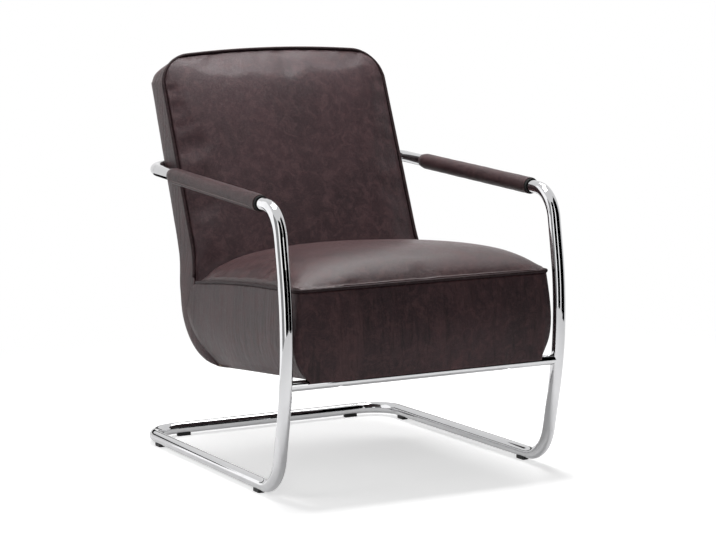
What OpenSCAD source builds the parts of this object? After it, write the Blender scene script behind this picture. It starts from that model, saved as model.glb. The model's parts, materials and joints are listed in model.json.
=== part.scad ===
// Cantilever lounge chair: two bent tube loops carry a padded seat and back on a timber frame.
// The chair faces -Y. The origin is on the floor, under the middle of the whole chair.

/* [Tube frame] */
// Outer diameter of the bent frame tube
tube_d = 25; // [22:0.5:28]
// Wall of the frame tube
tube_wall = 2; // [1.5:0.1:3]
// Width between the centre lines of the two side loops
loop_w = 580; // [550:1:620]
// Length of a runner, from the rear cross tube to the front corner
runner_l = 724; // [700:1:750]
// How far the leg's knee stands ahead of the front corner
knee_out = 80; // [65:1:90]
// Height of the leg's knee above the floor
knee_h = 297; // [280:1:315]
// How far the front of the arm stands behind the knee
arm_set_back = 33; // [22:1:45]
// Height of the arm's front corner above the floor
arm_front_h = 553; // [540:1:570]
// Height of the arm's rear corner above the floor
arm_rear_h = 598; // [585:1:612]
// How far the upper cross tube stands ahead of the rear cross tube
upper_in = 64; // [50:1:80]
// Bend radius between the rear cross tube and the runners
rear_bend_r = 72; // [55:1:85]
// Bend radius between runner and leg
front_bend_r = 86; // [60:1:95]
// Bend radius of the leg's long bow
knee_bend_r = 702; // [500:5:800]
// Bend radius between leg and arm
arm_bend_r = 64; // [50:1:80]
// Bend radius between the arms and the upper cross tube
upper_bend_r = 80; // [60:1:90]
// Outer diameter of the front cross tube
bar_d = 20; // [16:0.5:22]
// Wall of the front cross tube
bar_wall = 1.5; // [1:0.1:2]
// Height of the front cross tube above the floor
bar_h = 223; // [205:1:240]
// Length of the sleeves that join the two loops
sleeve_l = 90; // [60:5:120]

/* [Glides] */
// How far a glide holds the tube off the floor
glide_h = 5; // [3:0.5:8]
// Length of a glide along its tube
glide_l = 30; // [20:1:36]
// Width of a glide
glide_w = 14; // [10:0.5:18]
// Diameter of a glide's push-in stem
glide_stem_d = 6; // [4:0.5:8]
// Distance of the rear glides from the middle of the chair
glide_x = 202; // [150:1:202]
// Distance of the runners' rear glides from the rear cross tube
glide_rear_y = 90; // [88:1:150]
// Distance of the runners' front glides from the front corner
glide_front_y = 91; // [86:1:150]

/* [Arm pads] */
// Outer diameter of a covered arm
pad_d = 32.5; // [30:0.5:40]
// Length of the leather sleeve on an arm
pad_l = 462; // [380:1:480]
// Distance from the arm's front bend to the sleeve's front end
pad_start = 30; // [12:1:40]
// How far the black padding looks out of the sleeve's front end
pad_out = 6; // [0:1:10]
// Length of the taper at the sleeve's rear end
pad_taper_l = 14; // [6:1:30]

/* [Seat] */
// Tilt of the seat, front up
seat_tilt = 4.2; // [2:0.1:7]
// Gap between the seat's seam and the leg tubes
seat_side_gap = 7.5; // [6:0.5:20]
// Height of the seat's side seam above its underside, at the middle
seat_h = 176; // [160:1:190]
// How much the side seam drops towards the front and the rear
seam_arch = 10; // [0:1:16]
// How much the seat's middle stands above its seam
seat_crown = 61; // [30:1:70]
// Distance in which the crown rises behind the front seam
crown_rise_l = 44; // [30:1:80]
// How much the crown drops where it meets the back
crease_drop = 20; // [5:1:30]
// Radius of the seat's front corners, seen from above
seat_corner_r = 33; // [24:1:60]
// How far the front seam stands ahead of the front cross tube's centre
seat_front_out = 28.5; // [26:0.5:32]
// Bulge of the seat's sides and front
seat_bulge = 4; // [1:0.5:5]
// How far the sides tuck in under the seat
side_tuck = 20; // [12:1:20]
// How far the front leans back to its lower edge
front_tuck = 14; // [8:1:15]
// How far the front's lower edge hangs below the seat's underside
front_lip = 8; // [0:1:12]

/* [Back] */
// Recline of the back's front seam
back_recline = 22.2; // [18:0.1:26]
// Recline of the back's rear face
rear_recline = 20.3; // [17:0.1:24]
// Thickness of the back from seam to rear face, at the upper cross tube
back_t = 89; // [84:1:96]
// How much narrower the back is than the seat, on each side
back_inset = 12.5; // [6:0.5:20]
// Height of the back's top corners above the upper cross tube
back_top = 204; // [190:1:230]
// Radius of the top corners on the rear face
rear_corner_r = 32; // [26:1:60]
// Rise of the top edge between its corners
top_rise = 15; // [4:1:20]
// Radius of the back's top corners
top_corner_r = 65; // [50:1:80]
// How much the back's middle stands ahead of its seam
back_crown = 28; // [12:1:34]
// Tuck of the back's band where it turns on to the rear face
band_tuck = 9; // [7:1:14]
// Radius of the heel, where the rear face runs under the seat
heel_r = 160; // [130:1:170]

/* [Leather] */
// Thickness of the leather
leather_t = 1.5; // [1:0.1:2]
// Diameter of the piping
piping_d = 6.4; // [4:0.2:8]

/* [Timber frame] */
// Thickness of the plywood side panels
ply_t = 18; // [12:1:20]
// Thickness of the rails
rail_t = 20; // [16:1:22]
// Height of the seat's side panels
seat_beam_h = 95; // [85:1:100]
// Thickness of the board that stands on the front cross tube
foot_t = 22; // [18:1:28]
// Depth of that board
foot_w = 70; // [60:1:90]
// Distance of the seat screws from the middle
seat_screw_x = 180; // [100:1:200]
// Distance of the back screws from the middle
back_screw_x = 150; // [80:1:180]
// Diameter of the screws
screw_d = 6; // [5:0.5:8]

/* [Springs and foam] */
// Diameter of the spring wire
wire_d = 3.6; // [3:0.1:4]
// Radius of a spring's turns
spring_turn_r = 18; // [16:1:19]
// Width of a spring's straight stretches
spring_straight = 26; // [16:1:36]
// Number of springs across the seat
spring_count = 4; // [3:1:5]
// Thickness of the felt on the springs
felt_t = 3; // [2:0.5:5]
// Width of a webbing strap
strap_w = 50; // [40:1:60]
// Number of webbing straps
strap_count = 5; // [4:1:6]

/* [Hidden] */
$fn = 48;
// Gap between pieces that lie on each other
fit = 0.3;
// Gap of the sleeves in the tubes and of welded ends
tight = 0.15;
// Overrun of cuts
over = 1;
// Length by which a straight stretch of tube runs into the bend beside it
bend_lap = 0.5;
// How much thicker than the straight tube a bend is
bend_swell = 0.1;

half_w = loop_w / 2;
base_z = glide_h + tube_d / 2;

// Control points of a side loop, as [y, z] with the rear cross tube at y = 0
corner_front = [-runner_l, base_z];
corner_knee = [-runner_l - knee_out, knee_h];
corner_arm = [-runner_l - knee_out + arm_set_back, arm_front_h];
corner_upper = [-upper_in, arm_rear_h];

// Heading of each run, as an angle from -Y up and over to +Y
function heading(p, q) = atan2(q[1] - p[1], p[0] - q[0]);
function tangent_l(r, turn) = r * tan(turn / 2);
low_leg_a = heading(corner_front, corner_knee);
high_leg_a = heading(corner_knee, corner_arm);
arm_a = heading(corner_arm, corner_upper);
knee_turn = high_leg_a - low_leg_a;
arm_turn = arm_a - high_leg_a;
front_tangent = tangent_l(front_bend_r, low_leg_a);
knee_tangent = tangent_l(knee_bend_r, knee_turn);
arm_tangent = tangent_l(arm_bend_r, arm_turn);
runner_run = runner_l - rear_bend_r - front_tangent;
low_leg_run = norm(corner_knee - corner_front) - front_tangent - knee_tangent;
high_leg_run = norm(corner_arm - corner_knee) - knee_tangent - arm_tangent;
arm_run = norm(corner_upper - corner_arm) - arm_tangent - upper_bend_r;

// Centre of the leg's bow, and the places that follow from it
bow_start = corner_knee + knee_tangent * [cos(low_leg_a), -sin(low_leg_a)];
bow_centre = bow_start + knee_bend_r * [sin(low_leg_a), cos(low_leg_a)];
bar_y = bow_centre[0] - sqrt(pow(knee_bend_r, 2) - pow(bar_h - bow_centre[1], 2));
front_most = bow_centre[0] - knee_bend_r - tube_d / 2;
rear_most = tube_d / 2;
mid_y = (front_most + rear_most) / 2;

// Seat frame: origin on top of the front cross tube, y to the rear and z up, both tilted
seat_o = [bar_y, bar_h] + bar_d / 2 * [sin(seat_tilt), cos(seat_tilt)];
seat_half = half_w - tube_d / 2 - seat_side_gap;

// Rear face: it lies against the upper cross tube
rear_o = corner_upper + (tube_d / 2 + fit) * [-cos(rear_recline), sin(rear_recline)];
// Back frame: y from the front seam to the rear and z up along the back
back_o = rear_o + back_t * [-cos(back_recline), sin(back_recline)];
back_half = seat_half - back_inset;

// Seat frame measured in the back frame, and the other way round
back_turn = back_recline - seat_tilt;
seat_in_back = [(seat_o - back_o) * [cos(back_recline), -sin(back_recline)],
                (seat_o - back_o) * [sin(back_recline), cos(back_recline)]];
function to_back(p) = seat_in_back + [cos(back_turn) * p[0] - sin(back_turn) * p[1],
                                      sin(back_turn) * p[0] + cos(back_turn) * p[1]];
function to_seat(q) = let (d = q - seat_in_back)
    [cos(back_turn) * d[0] + sin(back_turn) * d[1], cos(back_turn) * d[1] - sin(back_turn) * d[0]];
// Place in the seat frame at height z that lies w behind the back's front seam
function seat_y_at(w, z) = (w - seat_in_back[0] + sin(back_turn) * z) / cos(back_turn);

// Heel: the rear face and the underside, joined by an arc, in the seat frame
rear_turn = rear_recline - seat_tilt;
rear_k = (rear_o - seat_o) * [cos(rear_recline), -sin(rear_recline)];
function rear_y_at(z, inset) = (rear_k - inset + sin(rear_turn) * z) / cos(rear_turn);
heel_c = [rear_y_at(heel_r, heel_r), heel_r];
heel_back = to_back(heel_c);
heel_end_turn = back_recline - rear_recline;
// Depth of the rear face behind the front seam, at height a along the back
function rear_w(a) = a < heel_back[1] - heel_r * sin(heel_end_turn)
    ? heel_back[0] + sqrt(max(0, pow(heel_r, 2) - pow(a - heel_back[1], 2)))
    : back_t - a * tan(heel_end_turn);

// Shapes of the padded surfaces. The shares give the fullness of a crown.
seat_power_share = 2.28;
seat_full_share = 0.36;
rear_full_share = 0.5;
back_power_share = 2.4;
back_full_share = 0.55;
function crown(u, power_share, full_share) = pow(max(0, 1 - pow(abs(u), power_share)), full_share);
function mix(a, b, t) = a + (b - a) * t;
function ease(t) = let (s = max(0, min(1, t))) s * s * (3 - 2 * s);
function steps(n) = [for (i = [0 : n]) i / n];

// Side seam of the seat
seam_mid_y = 290;
seam_half_l = 310;
function seam_z(y) = seat_h - seam_arch * pow((y - seam_mid_y) / seam_half_l, 2);

// Front surface of the back
back_rise_l = 40;
back_low = to_back([seat_y_at(0, seat_beam_h + rail_t), seat_beam_h + rail_t])[1];
function back_w(x, a) = -back_crown * crown(min(1, abs(x) / back_half), back_power_share, back_full_share)
    * (1 - exp(-max(0, back_top - a) / back_rise_l));

skin = leather_t + fit;
cheek_x = min(seat_half - side_tuck, back_half - band_tuck) - skin - fit;
inner_x = cheek_x - ply_t - tight;
timber_front = front_tuck + skin + fit - seat_front_out;
timber_corner_r = seat_corner_r / 2;
beam_w = back_t / 2;
seam_gap = piping_d / 2 + fit;

corner_rings = 5;
top_rings = 8;
corner_a = back_top - top_corner_r;
crease_z = seam_z(seat_y_at(0, seat_h));
crease = [seat_y_at(0, crease_z), crease_z];

module placed() translate([0, -mid_y, 0]) children();
module in_seat() placed() translate([0, seat_o[0], seat_o[1]]) rotate([-seat_tilt, 0, 0]) children();
module in_rear() placed() translate([0, rear_o[0], rear_o[1]]) rotate([-rear_recline, 0, 0]) children();
module in_back() placed() translate([0, back_o[0], back_o[1]]) rotate([-back_recline, 0, 0]) children();
// Turns an outline drawn in y and z, so that it is extruded along x
module across(l) rotate([90, 0, 90]) linear_extrude(l, center = true) children();
module box(x, y, z) translate([x[0], y[0], z[0]]) cube([x[1] - x[0], y[1] - y[0], z[1] - z[0]]);
module both_sides() {
    children();
    mirror([1, 0, 0]) children();
}

// Tube frame

// Each stretch carries the next one at its end
module straight(d, l) {
    translate([0, 0, -bend_lap]) cylinder(d = d, h = l + 2 * bend_lap);
    translate([0, 0, l]) children();
}

module bend(d, r, turn) {
    translate([r, 0, 0]) rotate([90, 0, 180]) rotate_extrude(angle = turn)
        translate([r, 0]) circle(d = d + bend_swell);
    translate([r * (1 - cos(turn)), 0, r * sin(turn)]) rotate([0, turn, 0]) children();
}

// Solid that follows the right-hand loop from the rear cross tube to the upper one
module loop_solid(d, extra) {
    translate([bend_lap - extra, 0, base_z]) rotate([0, 90, 0]) rotate([0, 0, -90])
        straight(d, half_w - rear_bend_r - bend_lap + extra) bend(d, rear_bend_r, 90)
        straight(d, runner_run) rotate([0, 0, -90]) bend(d, front_bend_r, low_leg_a)
        straight(d, low_leg_run) bend(d, knee_bend_r, knee_turn)
        straight(d, high_leg_run) bend(d, arm_bend_r, arm_turn)
        straight(d, arm_run) rotate([0, 0, 90]) bend(d, upper_bend_r, 90)
        straight(d, half_w - upper_bend_r - bend_lap + extra);
}

// Glide places on the right-hand loop, as [x, y, turn]
glide_places = [[glide_x, 0, 0], [half_w, -glide_rear_y, 90], [half_w, glide_front_y - runner_l, 90]];
stem_hole_d = glide_stem_d + 2 * fit;
head_d = 2 * screw_d;
head_h = screw_d * 2 / 3;
access_d = head_d + 2 * over;
hole_d = screw_d + 2 * fit;

module frame_half() {
    placed() difference() {
        loop_solid(tube_d, 0);
        loop_solid(tube_d - 2 * tube_wall, over);
        for (g = glide_places)
            translate([g[0], g[1], glide_h - over]) cylinder(d = stem_hole_d, h = tube_wall + 2 * over);
        translate([back_screw_x, corner_upper[0], corner_upper[1]]) rotate([-rear_recline, 0, 0]) {
            rotate([90, 0, 0]) cylinder(d = hole_d, h = tube_d);
            rotate([-90, 0, 0]) cylinder(d = access_d, h = tube_d);
        }
    }
}

module frame_tube_right() color("silver") frame_half();
module frame_tube_left() color("silver") mirror([1, 0, 0]) frame_half();

module sleeve(p) {
    placed() translate([0, p[0], p[1]]) rotate([0, 90, 0]) difference() {
        cylinder(d = tube_d - 2 * tube_wall - 2 * tight, h = sleeve_l, center = true);
        cylinder(d = tube_d - 4 * tube_wall, h = sleeve_l + 2 * over, center = true);
    }
}

module base_joint_sleeve() color("gray") sleeve([0, base_z]);
module upper_joint_sleeve() color("gray") sleeve(corner_upper);

bar_c = -bar_d / 2;
module front_cross_tube() {
    color("silver") difference() {
        in_seat() translate([0, 0, bar_c]) rotate([0, 90, 0]) cylinder(d = bar_d, h = loop_w, center = true);
        in_seat() translate([0, 0, bar_c]) rotate([0, 90, 0])
            cylinder(d = bar_d - 2 * bar_wall, h = loop_w + over, center = true);
        placed() both_sides() loop_solid(tube_d + 2 * tight, 0);
        in_seat() both_sides() translate([seat_screw_x, 0, bar_c]) {
            cylinder(d = hole_d, h = bar_d);
            mirror([0, 0, 1]) cylinder(d = access_d, h = bar_d);
        }
    }
}

glide_corner_r = glide_w / 4;
module rounded_rect(l, w, r) {
    square([l - 2 * r, w], center = true);
    square([l, w - 2 * r], center = true);
    for (x = [-1, 1], y = [-1, 1]) translate([x * (l / 2 - r), y * (w / 2 - r)]) circle(r = r);
}

module glide() {
    difference() {
        linear_extrude(glide_h + glide_w / 5) rounded_rect(glide_l, glide_w, glide_corner_r);
        translate([0, 0, base_z]) rotate([0, 90, 0])
            cylinder(d = tube_d + 2 * tight, h = glide_l + over, center = true);
    }
    translate([0, 0, glide_h / 2])
        cylinder(d = glide_stem_d, h = glide_h / 2 + tube_wall + glide_stem_d / 2);
}

module glides() {
    color([0.08, 0.08, 0.08]) placed() both_sides() for (g = glide_places)
        translate([g[0], g[1], 0]) rotate([0, 0, g[2]]) glide();
}

// Arm pads, drawn along z from the front end of the sleeve to the rear
pad_inner_d = pad_d - 2 * leather_t;
module on_arm() {
    placed() translate([half_w, corner_arm[0], corner_arm[1]]) rotate([180 - arm_a - 90, 0, 0])
        translate([0, 0, arm_tangent + pad_start]) children();
}

module ring_stack(rings) {
    rotate_extrude() polygon(rings);
}

module pad_cover() {
    end_r = tube_d / 2 + fit + leather_t;
    in_r = pad_inner_d / 2 + fit;
    taper_z = pad_l - pad_taper_l;
    on_arm() ring_stack([[in_r, 0], [pad_d / 2 + fit, 0], [pad_d / 2 + fit, taper_z],
                         [end_r, pad_l], [end_r - leather_t, pad_l], [in_r, taper_z]]);
}

module pad_foam() {
    in_r = tube_d / 2 + tight;
    out_r = pad_inner_d / 2;
    on_arm() ring_stack([[in_r, -pad_out], [out_r, -pad_out], [out_r, pad_l - pad_taper_l - over],
                         [in_r + tight, pad_l - over], [in_r, pad_l - over]]);
}

module arm_pad_cover_right() color([0.24, 0.17, 0.18]) pad_cover();
module arm_pad_cover_left() color([0.24, 0.17, 0.18]) mirror([1, 0, 0]) pad_cover();
module arm_pad_foam_right() color([0.1, 0.1, 0.1]) pad_foam();
module arm_pad_foam_left() color([0.1, 0.1, 0.1]) mirror([1, 0, 0]) pad_foam();

// Side outline of the padded body in the seat frame, open to the front and top

outline_front = -2 * seat_front_out;
outline_top = 4 * seat_h;

module side_outline(inset) {
    c = heel_c;
    r = heel_r - inset;
    corner = [rear_y_at(inset, inset), inset];
    low = [c[0], inset];
    high = c + r * [cos(rear_turn), -sin(rear_turn)];
    difference() {
        polygon([[outline_front, inset], corner, [rear_y_at(outline_top, inset), outline_top],
                 [outline_front, outline_top]]);
        difference() {
            polygon([low, corner, high, c]);
            translate(c) circle(r = r, $fn = 180);
        }
    }
}

// Timber frame

rail_gap = rail_t + fit;
beam_top = corner_a + timber_corner_r / 2;
// Plan of the seat's timber, with rounded front corners
module seat_plan() {
    r = timber_corner_r;
    translate([-cheek_x, timber_front + r]) square([2 * cheek_x, 2 * seam_half_l]);
    translate([r - cheek_x, timber_front]) square([2 * (cheek_x - r), r]);
    for (side = [-1, 1]) translate([side * (cheek_x - r), timber_front + r]) circle(r = r);
}

// Timber of the back is kept inside the outline of the rear cover
module in_outline(inset) {
    intersection() {
        children();
        in_back() rotate([90, 0, 0]) linear_extrude(2 * outline_top, center = true) rear_outline(inset);
    }
}

module cheek() {
    color([0.76, 0.6, 0.42]) in_outline(skin) in_seat() intersection() {
        translate([cheek_x - ply_t / 2, 0, 0]) across(ply_t) intersection() {
            side_outline(skin);
            union() {
                polygon([[timber_front, 0], [seat_y_at(back_t, 0), 0],
                         [seat_y_at(back_t, seat_beam_h), seat_beam_h], [timber_front, seat_beam_h]]);
                polygon([to_seat([beam_w, -outline_top]), to_seat([2 * back_t, -outline_top]),
                         to_seat([2 * back_t, beam_top]), to_seat([beam_w, beam_top])]);
            }
        }
        union() {
            linear_extrude(4 * seat_beam_h) seat_plan();
            translate([0, seam_half_l, 0]) across(2 * seat_half) square([2 * seam_half_l, outline_top]);
        }
    }
}

module side_panel_right() cheek();
module side_panel_left() mirror([1, 0, 0]) cheek();

tee_barrel_d = screw_d * 4 / 3;
tee_flange_d = 3 * screw_d;
tee_flange_t = 1.5;
tee_l = foot_t / 2;
spread = [-inner_x, inner_x];

module foot_board() {
    color([0.8, 0.66, 0.47]) in_seat() difference() {
        intersection() {
            box(spread, [timber_front, timber_front + foot_w], [skin, foot_t]);
            linear_extrude(foot_t) seat_plan();
        }
        both_sides() translate([seat_screw_x, 0, 0]) cylinder(d = tee_barrel_d + 2 * fit, h = foot_t + over);
    }
}

module front_rail() color([0.8, 0.66, 0.47]) in_seat() difference() {
    intersection() {
        box(spread, [timber_front, timber_front + rail_t], [foot_t + fit, seat_beam_h]);
        linear_extrude(seat_beam_h) seat_plan();
    }
    both_sides() translate([seat_screw_x, 0, foot_t])
        cylinder(d = tee_flange_d + 2 * over, h = 2 * tee_l + over);
}

rear_rail_y = seat_y_at(0, seat_beam_h) - over;
module rear_rail() {
    color([0.8, 0.66, 0.47]) in_seat()
        box(spread, [rear_rail_y - rail_t, rear_rail_y], [rail_t, seat_beam_h]);
}

// Rails of the back, measured from the rear face and from the upper cross tube
mid_rail_h = 70;
top_rail_h = 50;
// Height of the heel's centre along the rear face
heel_a = (seat_o - rear_o) * [sin(rear_recline), cos(rear_recline)]
    + [sin(rear_turn), cos(rear_turn)] * heel_c;
low_rail_z = heel_a + rail_t;
module back_mid_rail() {
    color([0.8, 0.66, 0.47]) in_rear() difference() {
        box(spread, [-skin - rail_t, -skin], [-mid_rail_h / 2, mid_rail_h / 2]);
        both_sides() translate([back_screw_x, over, 0]) rotate([90, 0, 0])
            cylinder(d = tee_barrel_d + 2 * fit, h = skin + rail_t + 2 * over);
    }
}

top_rail_a = beam_top - top_rail_h / 2;
module back_top_rail() {
    color([0.8, 0.66, 0.47]) in_outline(skin) in_rear()
        box(spread, [-skin - rail_t, -skin], [top_rail_a, top_rail_a + top_rail_h]);
}

module back_low_rail() {
    color([0.8, 0.66, 0.47]) in_rear()
        box(spread, [-skin - rail_t, -skin], [low_rail_z, low_rail_z + top_rail_h]);
}

block_w = 45;
module corner_block(h) linear_extrude(h) polygon([[0, 0], [-block_w, 0], [0, block_w]]);
module corner_blocks() {
    color([0.72, 0.56, 0.38]) in_seat() both_sides() {
        translate([inner_x - fit, timber_front + rail_gap, foot_t + fit])
            corner_block(seat_beam_h - foot_t - rail_t);
        translate([inner_x - fit, rear_rail_y - rail_gap, rail_t]) mirror([0, 1, 0])
            corner_block(seat_beam_h - 2 * rail_t);
    }
}

// Fixings. A screw is drawn along z with the underside of its head at zero.
module screw(l) {
    cylinder(d = screw_d, h = l);
    mirror([0, 0, 1]) difference() {
        cylinder(d = head_d - over, h = head_h);
        translate([0, 0, head_h / 2]) cylinder(d = screw_d * 2 / 3, h = head_h, $fn = 6);
    }
}

module tee_nut() {
    difference() {
        union() {
            cylinder(d = tee_flange_d, h = tee_flange_t);
            mirror([0, 0, 1]) cylinder(d = tee_barrel_d, h = tee_l);
        }
        translate([0, 0, -tee_l - over])
            cylinder(d = screw_d + 2 * tight, h = tee_l + tee_flange_t + 2 * over);
    }
}

function seat_r(d) = sqrt(pow(d / 2, 2) - pow(head_d / 2, 2));
bar_seat_r = seat_r(bar_d - 2 * bar_wall);
tube_seat_r = seat_r(tube_d - 2 * tube_wall);

module seat_screws() {
    color("dimgray") in_seat() both_sides() translate([seat_screw_x, 0, bar_c + bar_seat_r])
        screw(foot_t - bar_c - bar_seat_r + tee_flange_t);
}

module seat_tee_nuts() color("gray") in_seat() both_sides() translate([seat_screw_x, 0, foot_t]) tee_nut();

module back_screws() {
    color("dimgray") in_rear() both_sides() translate([back_screw_x, tube_d / 2 + fit - tube_seat_r, 0])
        rotate([90, 0, 0]) screw(tube_d / 2 + fit - tube_seat_r + skin + rail_t + tee_flange_t);
}

module back_tee_nuts() {
    color("gray") in_rear() both_sides() translate([back_screw_x, -skin - rail_t, 0])
        rotate([90, 0, 0]) tee_nut();
}

// Springs and webbing

// Thickness of a clip round the wire
clip_t = 1;
wire_z = seat_beam_h + fit + clip_t + tight + wire_d / 2;
spring_room = rear_rail_y - timber_front - 2 * rail_t;
spring_turns = floor(spring_room / (2 * spring_turn_r) / 2) * 2;
spring_y = timber_front + rail_t + spring_room / 2 - spring_turns * spring_turn_r;
clip_reach = spring_y - timber_front - rail_t / 2;
spring_pitch = 2 * inner_x / (spring_count + 0.5);
function spring_x(i) = (i - (spring_count - 1) / 2) * spring_pitch;

module spring() {
    for (i = [0 : spring_turns]) translate([0, i * 2 * spring_turn_r, 0]) rotate([0, 90, 0])
        cylinder(d = wire_d, h = spring_straight, center = true);
    for (i = [0 : spring_turns - 1]) {
        side = i % 2 == 0 ? 1 : -1;
        translate([side * spring_straight / 2, (2 * i + 1) * spring_turn_r, 0]) rotate([0, 0, -side * 90])
            rotate_extrude(angle = 180) translate([spring_turn_r, 0]) circle(d = wire_d);
    }
}

module seat_springs() {
    color("slategray") in_seat() for (i = [0 : spring_count - 1]) translate([spring_x(i), spring_y, wire_z])
        mirror([spring_x(i) > 0 ? 1 : 0, 0, 0]) spring();
}

clip_l = spring_straight / 2;
clip_half_h = wire_d / 2 + tight + clip_t;
module clip(reach) {
    difference() {
        box([-clip_l / 2, clip_l / 2], [-reach, wire_d], [-clip_half_h, clip_half_h]);
        rotate([0, 90, 0]) cylinder(d = wire_d + 2 * tight, h = 2 * clip_l, center = true);
    }
}

module spring_clips() {
    color("dimgray") in_seat() for (i = [0 : spring_count - 1]) {
        translate([spring_x(i), spring_y, wire_z]) clip(clip_reach);
        translate([spring_x(i), spring_y + 2 * spring_turns * spring_turn_r, wire_z])
            mirror([0, 1, 0]) clip(clip_reach);
    }
}

felt_z = wire_z + clip_half_h + fit;
module seat_felt() {
    color([0.7, 0.7, 0.68]) in_seat() intersection() {
        box([-cheek_x, cheek_x], [timber_front, rear_rail_y - over], [felt_z, felt_z + felt_t]);
        linear_extrude(seat_h) seat_plan();
    }
}

strap_t = 1.5;
strap_low = back_low + strap_w;
strap_pitch = (beam_top - strap_w - strap_low) / (strap_count - 1);
module back_webbing() {
    color([0.15, 0.15, 0.15]) in_back() for (i = [0 : strap_count - 1])
        translate([0, 0, strap_low + i * strap_pitch])
            box([-cheek_x, cheek_x], [beam_w - fit - strap_t, beam_w - fit], [0, strap_w]);
}

// Flat pads on the seat's frame
pad_low = seat_beam_h / 3;
front_pad_y = skin + front_tuck / 3 - seat_front_out;
side_pad_x = seat_half - side_tuck * 2 / 5;
module front_pad() {
    color([0.86, 0.84, 0.75]) in_seat()
        box([seat_corner_r - seat_half, seat_half - seat_corner_r], [front_pad_y, timber_front - fit],
            [seat_beam_h / 2, seat_beam_h]);
}

module side_pad() {
    color([0.86, 0.84, 0.75]) in_seat()
        box([cheek_x + fit, side_pad_x], [seat_corner_r - seat_front_out, rear_rail_y - ply_t],
            [pad_low, seat_beam_h]);
}

module side_pad_right() side_pad();
module side_pad_left() mirror([1, 0, 0]) side_pad();

// Black cloth under the seat, from the front to the end of the rear cover
wrap_l = heel_r / 4;
module dust_cover() {
    color([0.05, 0.05, 0.05]) in_seat() difference() {
        intersection() {
            box([-cheek_x, cheek_x], [timber_front, heel_c[0] - wrap_l - over], [fit, skin - fit]);
            linear_extrude(skin) seat_plan();
        }
        both_sides() translate([seat_screw_x, 0, 0]) cylinder(d = hole_d, h = skin);
    }
}

// Line along the top edge and the corners of the back as [x, height], further out by the given amount
edge_rings = 2 * corner_rings + top_rings;
function edge_point(k, out, r) = let (
    turn = k <= corner_rings ? 90 * k / corner_rings
        : k < corner_rings + top_rings ? 90 : 90 + 90 * (k - corner_rings - top_rings) / corner_rings,
    run = max(0, min(1, (k - corner_rings) / top_rings)),
    x = mix(1, -1, run) * (back_half - r) + (r + out) * cos(turn))
    [x, back_top - r + (r + out) * sin(turn) + top_rise * (1 - pow(x / back_half, 2))];

module rear_outline(inset) {
    out = -band_tuck - inset;
    low = -outline_top;
    polygon(concat([[-back_half - out, low], [back_half + out, low]],
                   [for (k = [0 : edge_rings]) edge_point(k, out, rear_corner_r)]));
}

// Rear cover: one skin of leather from the top, round the heel and under the seat
module rear_cover() {
    color([0.24, 0.17, 0.18]) difference() {
        in_outline(2 * fit) in_seat() across(2 * back_half) difference() {
            side_outline(0);
            side_outline(leather_t);
            translate([outline_front - over, -over])
                square([heel_c[0] - wrap_l - outline_front + over, outline_top]);
        }
        in_rear() both_sides() translate([back_screw_x, over, 0]) rotate([90, 0, 0])
            cylinder(d = hole_d, h = leather_t + 2 * over);
    }
}

// Soft forms. A sheet is the space between two grids of points with the same rows and columns.

module sheet(top, low) {
    m = len(top);
    n = len(top[0]);
    k = m * n;
    grid = [for (i = [0 : m - 2], j = [0 : n - 2]) i * n + j];
    rim = concat([for (j = [0 : n - 2]) [j, j + 1]],
                 [for (i = [0 : m - 2]) [i * n + n - 1, (i + 1) * n + n - 1]],
                 [for (j = [n - 2 : -1 : 0]) [(m - 1) * n + j + 1, (m - 1) * n + j]],
                 [for (i = [m - 2 : -1 : 0]) [(i + 1) * n, i * n]]);
    polyhedron(
        points = concat([for (row = top) each row], [for (row = low) each row]),
        faces = concat([for (g = grid) [g, g + 1, g + n + 1]],
                       [for (g = grid) [g, g + n + 1, g + n]],
                       [for (g = grid) [g + k, g + n + 1 + k, g + 1 + k]],
                       [for (g = grid) [g + k, g + n + k, g + n + 1 + k]],
                       [for (e = rim) [e[1], e[0], e[0] + k]],
                       [for (e = rim) [e[1], e[0] + k, e[1] + k]]));
}

// Cord of round section along points, with rings square to the path
module cord(path, r, sides) {
    n = len(path);
    function along(i) = let (d = path[min(n - 1, i + 1)] - path[max(0, i - 1)]) d / norm(d);
    function spoke(k) = [cos(360 * k / sides), sin(360 * k / sides)];
    function at(i, k) = i * sides + k % sides;
    rings = [for (i = [0 : n - 1])
             let (t = along(i), ref = abs(t[0]) < 0.9 ? [1, 0, 0] : [0, 1, 0],
                  p = cross(t, ref) / norm(cross(t, ref)), q = cross(t, p))
             [for (k = [0 : sides - 1]) path[i] + r * (spoke(k)[0] * p + spoke(k)[1] * q)]];
    patches = [for (i = [0 : n - 2], k = [0 : sides - 1]) [i, k]];
    polyhedron(
        points = [for (ring = rings) each ring],
        faces = concat([for (s = patches) [at(s[0], s[1]), at(s[0] + 1, s[1]), at(s[0], s[1] + 1)]],
                       [for (s = patches) [at(s[0], s[1] + 1), at(s[0] + 1, s[1]), at(s[0] + 1, s[1] + 1)]],
                       [for (k = [1 : sides - 2]) [0, k, k + 1]],
                       [for (k = [1 : sides - 2]) [at(n - 1, 0), at(n - 1, k + 1), at(n - 1, k)]]));
}

// Seat top: rows run from the front seam to the back, columns from side to side
seat_rows = 15;
seat_cols = 18;
corner_power_share = 3;
corner_y = seat_corner_r - seat_front_out;
// How far the sides draw in towards the back
side_in = back_inset / 4;
piping_end_y = crease[0] - 2 * piping_d;
function side_draw(y) = side_in * ease(3 * (y - corner_y) / (piping_end_y - corner_y) - 2);
function corner_fall(s) = s >= seat_corner_r ? 0
    : seat_corner_r * (1 - pow(1 - pow(1 - s / seat_corner_r, corner_power_share), 1 / corner_power_share));
function column_share(j) = sin(180 * j / seat_cols - 90);
function row_share(i, rows) = 1 - cos(90 * i / rows);
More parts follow.
